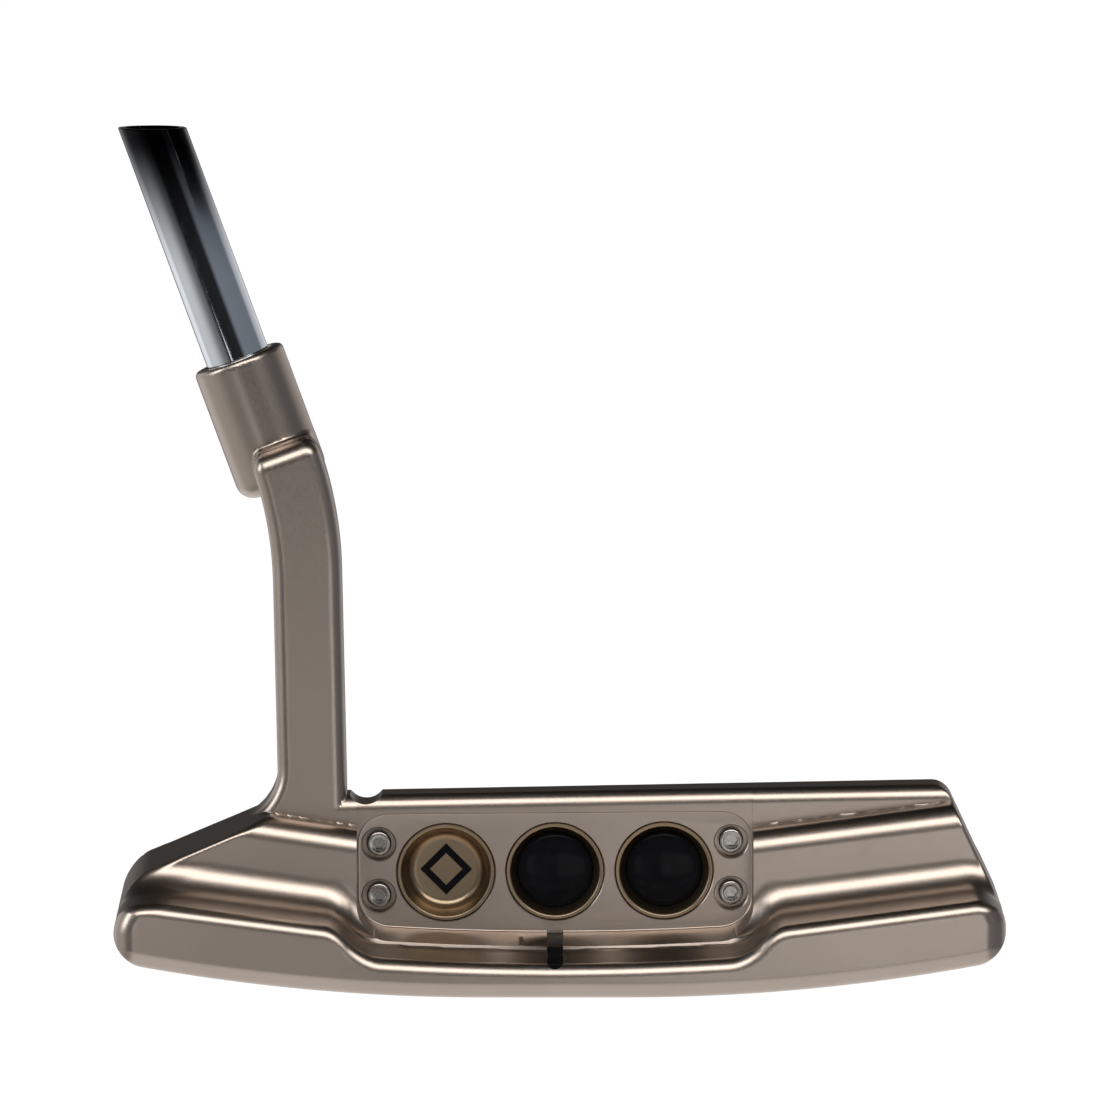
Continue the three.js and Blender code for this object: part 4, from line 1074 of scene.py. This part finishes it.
def polished_chrome():
    """Bright plate with faint polishing marks, and painted shade that turns it near black towards the cut."""
    finish, tree, shader = finish_base("polished_chrome", Metallic=1.0, Roughness=0.07)
    places = object_places(tree)
    split = add_node(tree, "ShaderNodeSeparateXYZ")
    tree.links.new(places, split.inputs[0])
    # Painted shade: by height, the colour turns from chrome to near black over the top of the shaft, standing
    # in for a dark reflection.
    fade = add_node(tree, "ShaderNodeMapRange", interpolation_type="SMOOTHSTEP")
    fade.inputs["From Min"].default_value = 0.098
    fade.inputs["From Max"].default_value = 0.1185
    tree.links.new(split.outputs["Z"], fade.inputs["Value"])
    tree.links.new(two_tone(tree, fade.outputs["Result"], (0.70, 0.745, 0.80), (0.012, 0.012, 0.014)),
                   shader.inputs["Base Color"])
    marks = noise(tree, object_places(tree, (1, 1, 0.15)), 900, 3)
    tree.links.new(spread(tree, marks, 0.05, 0.10), shader.inputs["Roughness"])
    bump(tree, marks, shader, 0.05, 0.00001)
    return finish


def soft_finish(name, first, second, rough, scale):
    finish, tree, shader = finish_base(name, Roughness=rough)
    places = object_places(tree)
    grain = noise(tree, places, scale)
    tree.links.new(two_tone(tree, grain, first, second), shader.inputs["Base Color"])
    bump(tree, grain, shader, 0.3, 0.00005)
    return finish


def dress(piece, finish):
    piece.data.materials.clear()
    piece.data.materials.append(finish)


# ------------------------------------------------------------------ assembly

head_metal = satin_metal("champagne_satin_steel", (0.385, 0.322, 0.276), (0.415, 0.350, 0.303))
bronze = satin_metal("satin_bronze", (0.26, 0.195, 0.13), (0.30, 0.225, 0.15), (0.28, 0.36))
screw_steel = turned_metal("screw_steel", (0.34, 0.32, 0.30), 0.22)
weight_steel = turned_metal("weight_steel", (0.55, 0.53, 0.51), 0.26)
enamel = black_enamel()
chrome = polished_chrome()


def place(piece, finish, slot, *nodes):
    dress(piece, finish)
    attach(piece, "root")
    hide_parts(*nodes)


place(head_piece(), head_metal, "head", "head_body")
place(insert_piece(bronze), bronze, "insert", "face_insert")
place(screws_piece(screw_steel), screw_steel, "screw", *SCREW_NODES)
for end, side in (("heel", -1), ("toe", 1)):
    place(weight_piece(f"turned_weight_{end}", side), weight_steel, "weight", f"sole_weight_{end}")
for end in ("centre", "toe"):
    place(dot_piece(f"glossy_dot_{end}", *DOT_PLACES[end]), enamel, "enamel", f"dot_fill_{end}")
motif_bottom = DISH_FLOOR_Y + MOTIF_DEPTH - MOTIF_SINK
motif = smooth(diamond("diamond_fill", NEST_GAP, DISH_FLOOR_Y, motif_bottom), 30)
place(motif, enamel, "enamel", "motif_fill_heel")
sight = smooth(sight_slot("sight_line_enamel", NEST_GAP, NEST_GAP, SIGHT_DEPTH - SIGHT_SINK), 30)
place(sight, enamel, "enamel", "sight_line_fill")
place(shaft_piece(), chrome, "shaft", "shaft")

hidden_finishes = {
    "damping_pad": soft_finish("damping_rubber", (0.03, 0.03, 0.032), (0.05, 0.05, 0.052), 0.85, 1500),
    "sole_weight_washer_heel": soft_finish("washer_nylon", (0.62, 0.6, 0.52), (0.7, 0.68, 0.6), 0.6, 800),
    "shaft_bond": soft_finish("cured_epoxy", (0.06, 0.05, 0.04), (0.10, 0.085, 0.06), 0.4, 500),
    "tip_plug": soft_finish("cork", (0.42, 0.28, 0.15), (0.26, 0.16, 0.08), 0.95, 900),
}
hidden_finishes["sole_weight_washer_toe"] = hidden_finishes["sole_weight_washer_heel"]
for node, finish in hidden_finishes.items():
    dress(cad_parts[node], finish)


# ------------------------------------------------------------------ studio

def aim(thing, place, target):
    thing.location = place
    thing.rotation_euler = (Vector(target) - Vector(place)).to_track_quat("-Z", "Y").to_euler()


def softbox(name, place, target, size, power, colour=(1, 1, 1)):
    """Soft rectangular lamp that the camera does not see."""
    light = bpy.data.lights.new(name, "AREA")
    light.shape = "RECTANGLE"
    light.size, light.size_y = size
    light.energy = power
    light.color = colour
    lamp = bpy.data.objects.new(name, light)
    bpy.context.scene.collection.objects.link(lamp)
    lamp.visible_camera = False
    aim(lamp, place, target)


def floor_piece():
    """Pale table top with its own glow, which fades far out; the metal does not mirror it."""
    mesh = bpy.data.meshes.new("pale_floor")
    mesh.from_pydata([(-3, -0.32, 0), (3, -0.32, 0), (3, 4, 0), (-3, 4, 0)], [], [(0, 1, 2, 3)])
    floor = bpy.data.objects.new("pale_floor", mesh)
    bpy.context.scene.collection.objects.link(floor)
    finish, tree, shader = finish_base("pale_floor", Roughness=0.9)
    split = add_node(tree, "ShaderNodeSeparateXYZ")
    tree.links.new(object_places(tree), split.inputs[0])
    away = add_node(tree, "ShaderNodeMapRange", interpolation_type="SMOOTHSTEP")
    side = add_node(tree, "ShaderNodeMath", operation="ABSOLUTE")
    tree.links.new(split.outputs["X"], side.inputs[0])
    reach = add_node(tree, "ShaderNodeMath", operation="SUBTRACT")
    tree.links.new(side.outputs[0], reach.inputs[0])
    tree.links.new(split.outputs["Y"], reach.inputs[1])
    for label, value in (("From Min", 0.24), ("From Max", 0.31), ("To Min", 1.0), ("To Max", 0.6)):
        away.inputs[label].default_value = value
    tree.links.new(reach.outputs[0], away.inputs["Value"])
    shader.inputs["Base Color"].default_value = (0.05, 0.05, 0.05, 1)
    shader.inputs["Emission Color"].default_value = (1, 1, 1, 1)
    tree.links.new(away.outputs["Result"], shader.inputs["Emission Strength"])
    mesh.materials.append(finish)
    floor.location.z = -0.0002
    floor.visible_glossy = False
    floor.visible_shadow = False


def studio_world():
    """Dark room with bright walls far behind, dimmer ones to the sides and a pale band below."""
    world = bpy.data.worlds.new("studio")
    bpy.context.scene.world = world
    world.use_nodes = True
    tree = world.node_tree
    tree.nodes.clear()
    place = add_node(tree, "ShaderNodeTexCoord")
    split = add_node(tree, "ShaderNodeSeparateXYZ")
    tree.links.new(place.outputs["Generated"], split.inputs[0])

    def ramp(value, stops):
        scaled = add_node(tree, "ShaderNodeMapRange")
        scaled.inputs["From Min"].default_value = -1
        tree.links.new(value, scaled.inputs["Value"])
        node = add_node(tree, "ShaderNodeValToRGB")
        band = node.color_ramp
        band.interpolation = "EASE"
        while len(band.elements) < len(stops):
            band.elements.new(0.5)
        for element, (spot, colour) in zip(band.elements, stops):
            element.position = (spot + 1) / 2
            element.color = (*colour, 1)
        tree.links.new(scaled.outputs["Result"], node.inputs["Fac"])
        return node.outputs["Color"]

    def mix(kind, factor, a, b):
        node = add_node(tree, "ShaderNodeMix", data_type="RGBA", blend_type=kind)
        if isinstance(factor, float):
            node.inputs[0].default_value = factor
        else:
            tree.links.new(factor, node.inputs[0])
        tree.links.new(a, node.inputs[6])
        tree.links.new(b, node.inputs[7])
        return node.outputs[2]

    across = ramp(split.outputs["X"], [
        (-1.0, (0.55, 0.54, 0.52)), (-0.6, (0.12, 0.12, 0.12)), (-0.3, (0.015, 0.015, 0.015)),
        (0.35, (0.02, 0.02, 0.02)), (0.60, (0.20, 0.215, 0.235)), (1.0, (0.19, 0.205, 0.225)),
    ])
    behind = ramp(split.outputs["X"], [
        (-1.0, (0.9, 0.9, 0.9)), (-0.55, (0.8, 0.8, 0.8)), (-0.3, (0.06, 0.06, 0.06)),
        (0.15, (0.06, 0.06, 0.06)), (0.40, (0.75, 0.75, 0.75)), (1.0, (0.5, 0.5, 0.5)),
    ])
    rise = ramp(split.outputs["Z"], [
        (-1.0, (1, 1, 1)), (0.25, (1, 1, 1)), (0.50, (0.15, 0.15, 0.15)), (1.0, (0.04, 0.04, 0.04)),
    ])
    side = ramp(split.outputs["Y"], [(-1.0, (0, 0, 0)), (0.2, (0, 0, 0)), (0.5, (1, 1, 1)), (1.0, (1, 1, 1))])
    depth = ramp(split.outputs["Z"], [
        (-1.0, (1, 1, 1)), (-0.45, (1, 1, 1)), (-0.2, (0, 0, 0)), (1.0, (0, 0, 0)),
    ])
    width = ramp(split.outputs["X"], [
        (-1.0, (0.2, 0.2, 0.2)), (-0.6, (0.25, 0.25, 0.25)), (-0.3, (1, 1, 1)),
        (0.3, (1, 1, 1)), (0.6, (0.25, 0.25, 0.25)), (1.0, (0.2, 0.2, 0.2)),
    ])
    below = mix("MULTIPLY", 1.0, depth, width)
    upper = mix("MULTIPLY", 1.0, mix("MIX", side, across, behind), rise)
    around = add_node(tree, "ShaderNodeBackground", Strength=1.0)
    tree.links.new(mix("ADD", 1.0, upper, below), around.inputs["Color"])
    goal = add_node(tree, "ShaderNodeOutputWorld")
    tree.links.new(around.outputs[0], goal.inputs["Surface"])


def camera():
    """Long lens behind the head, a little above it."""
    lens = bpy.data.cameras.new("camera")
    lens.sensor_width = 36
    view_width = 0.1568
    distance = 1.1
    lens.lens = lens.sensor_width * distance / view_width
    lens.dof.use_dof = False
    lens.clip_start = 0.01
    eye = bpy.data.objects.new("camera", lens)
    bpy.context.scene.collection.objects.link(eye)
    elevation = math.radians(7)
    target = Vector((0.0007, 0, 0.06053))
    aim(eye, target + distance * Vector((0, -math.cos(elevation), math.sin(elevation))), target)
    bpy.context.scene.camera = eye


floor_piece()
studio_world()
middle = (0, 0, 0.03)
low_strips = [
    ("heel_end_strip", -0.115, 0.07, 1.1), ("heel_strip", -0.04, 0.08, 0.3), ("toe_strip", 0.09, 0.16, 1.3),
]
strip_y, strip_z, strip_height = -0.31, -0.015, 0.09
for name, x, width, radiance in low_strips:
    power = radiance * math.pi * width * strip_height
    softbox(name, (x, strip_y, strip_z), (x, 0, strip_z), (width, strip_height), power)
softbox("front_top_softbox", (0.05, -0.70, 0.75), middle, (1.5, 0.52), 10, (1.0, 0.985, 0.965))
softbox("heel_softbox", (-0.95, -0.30, 0.35), middle, (0.4, 0.6), 3.0, (0.9, 0.95, 1.0))
camera()
bpy.context.scene.view_settings.view_transform = "Standard"
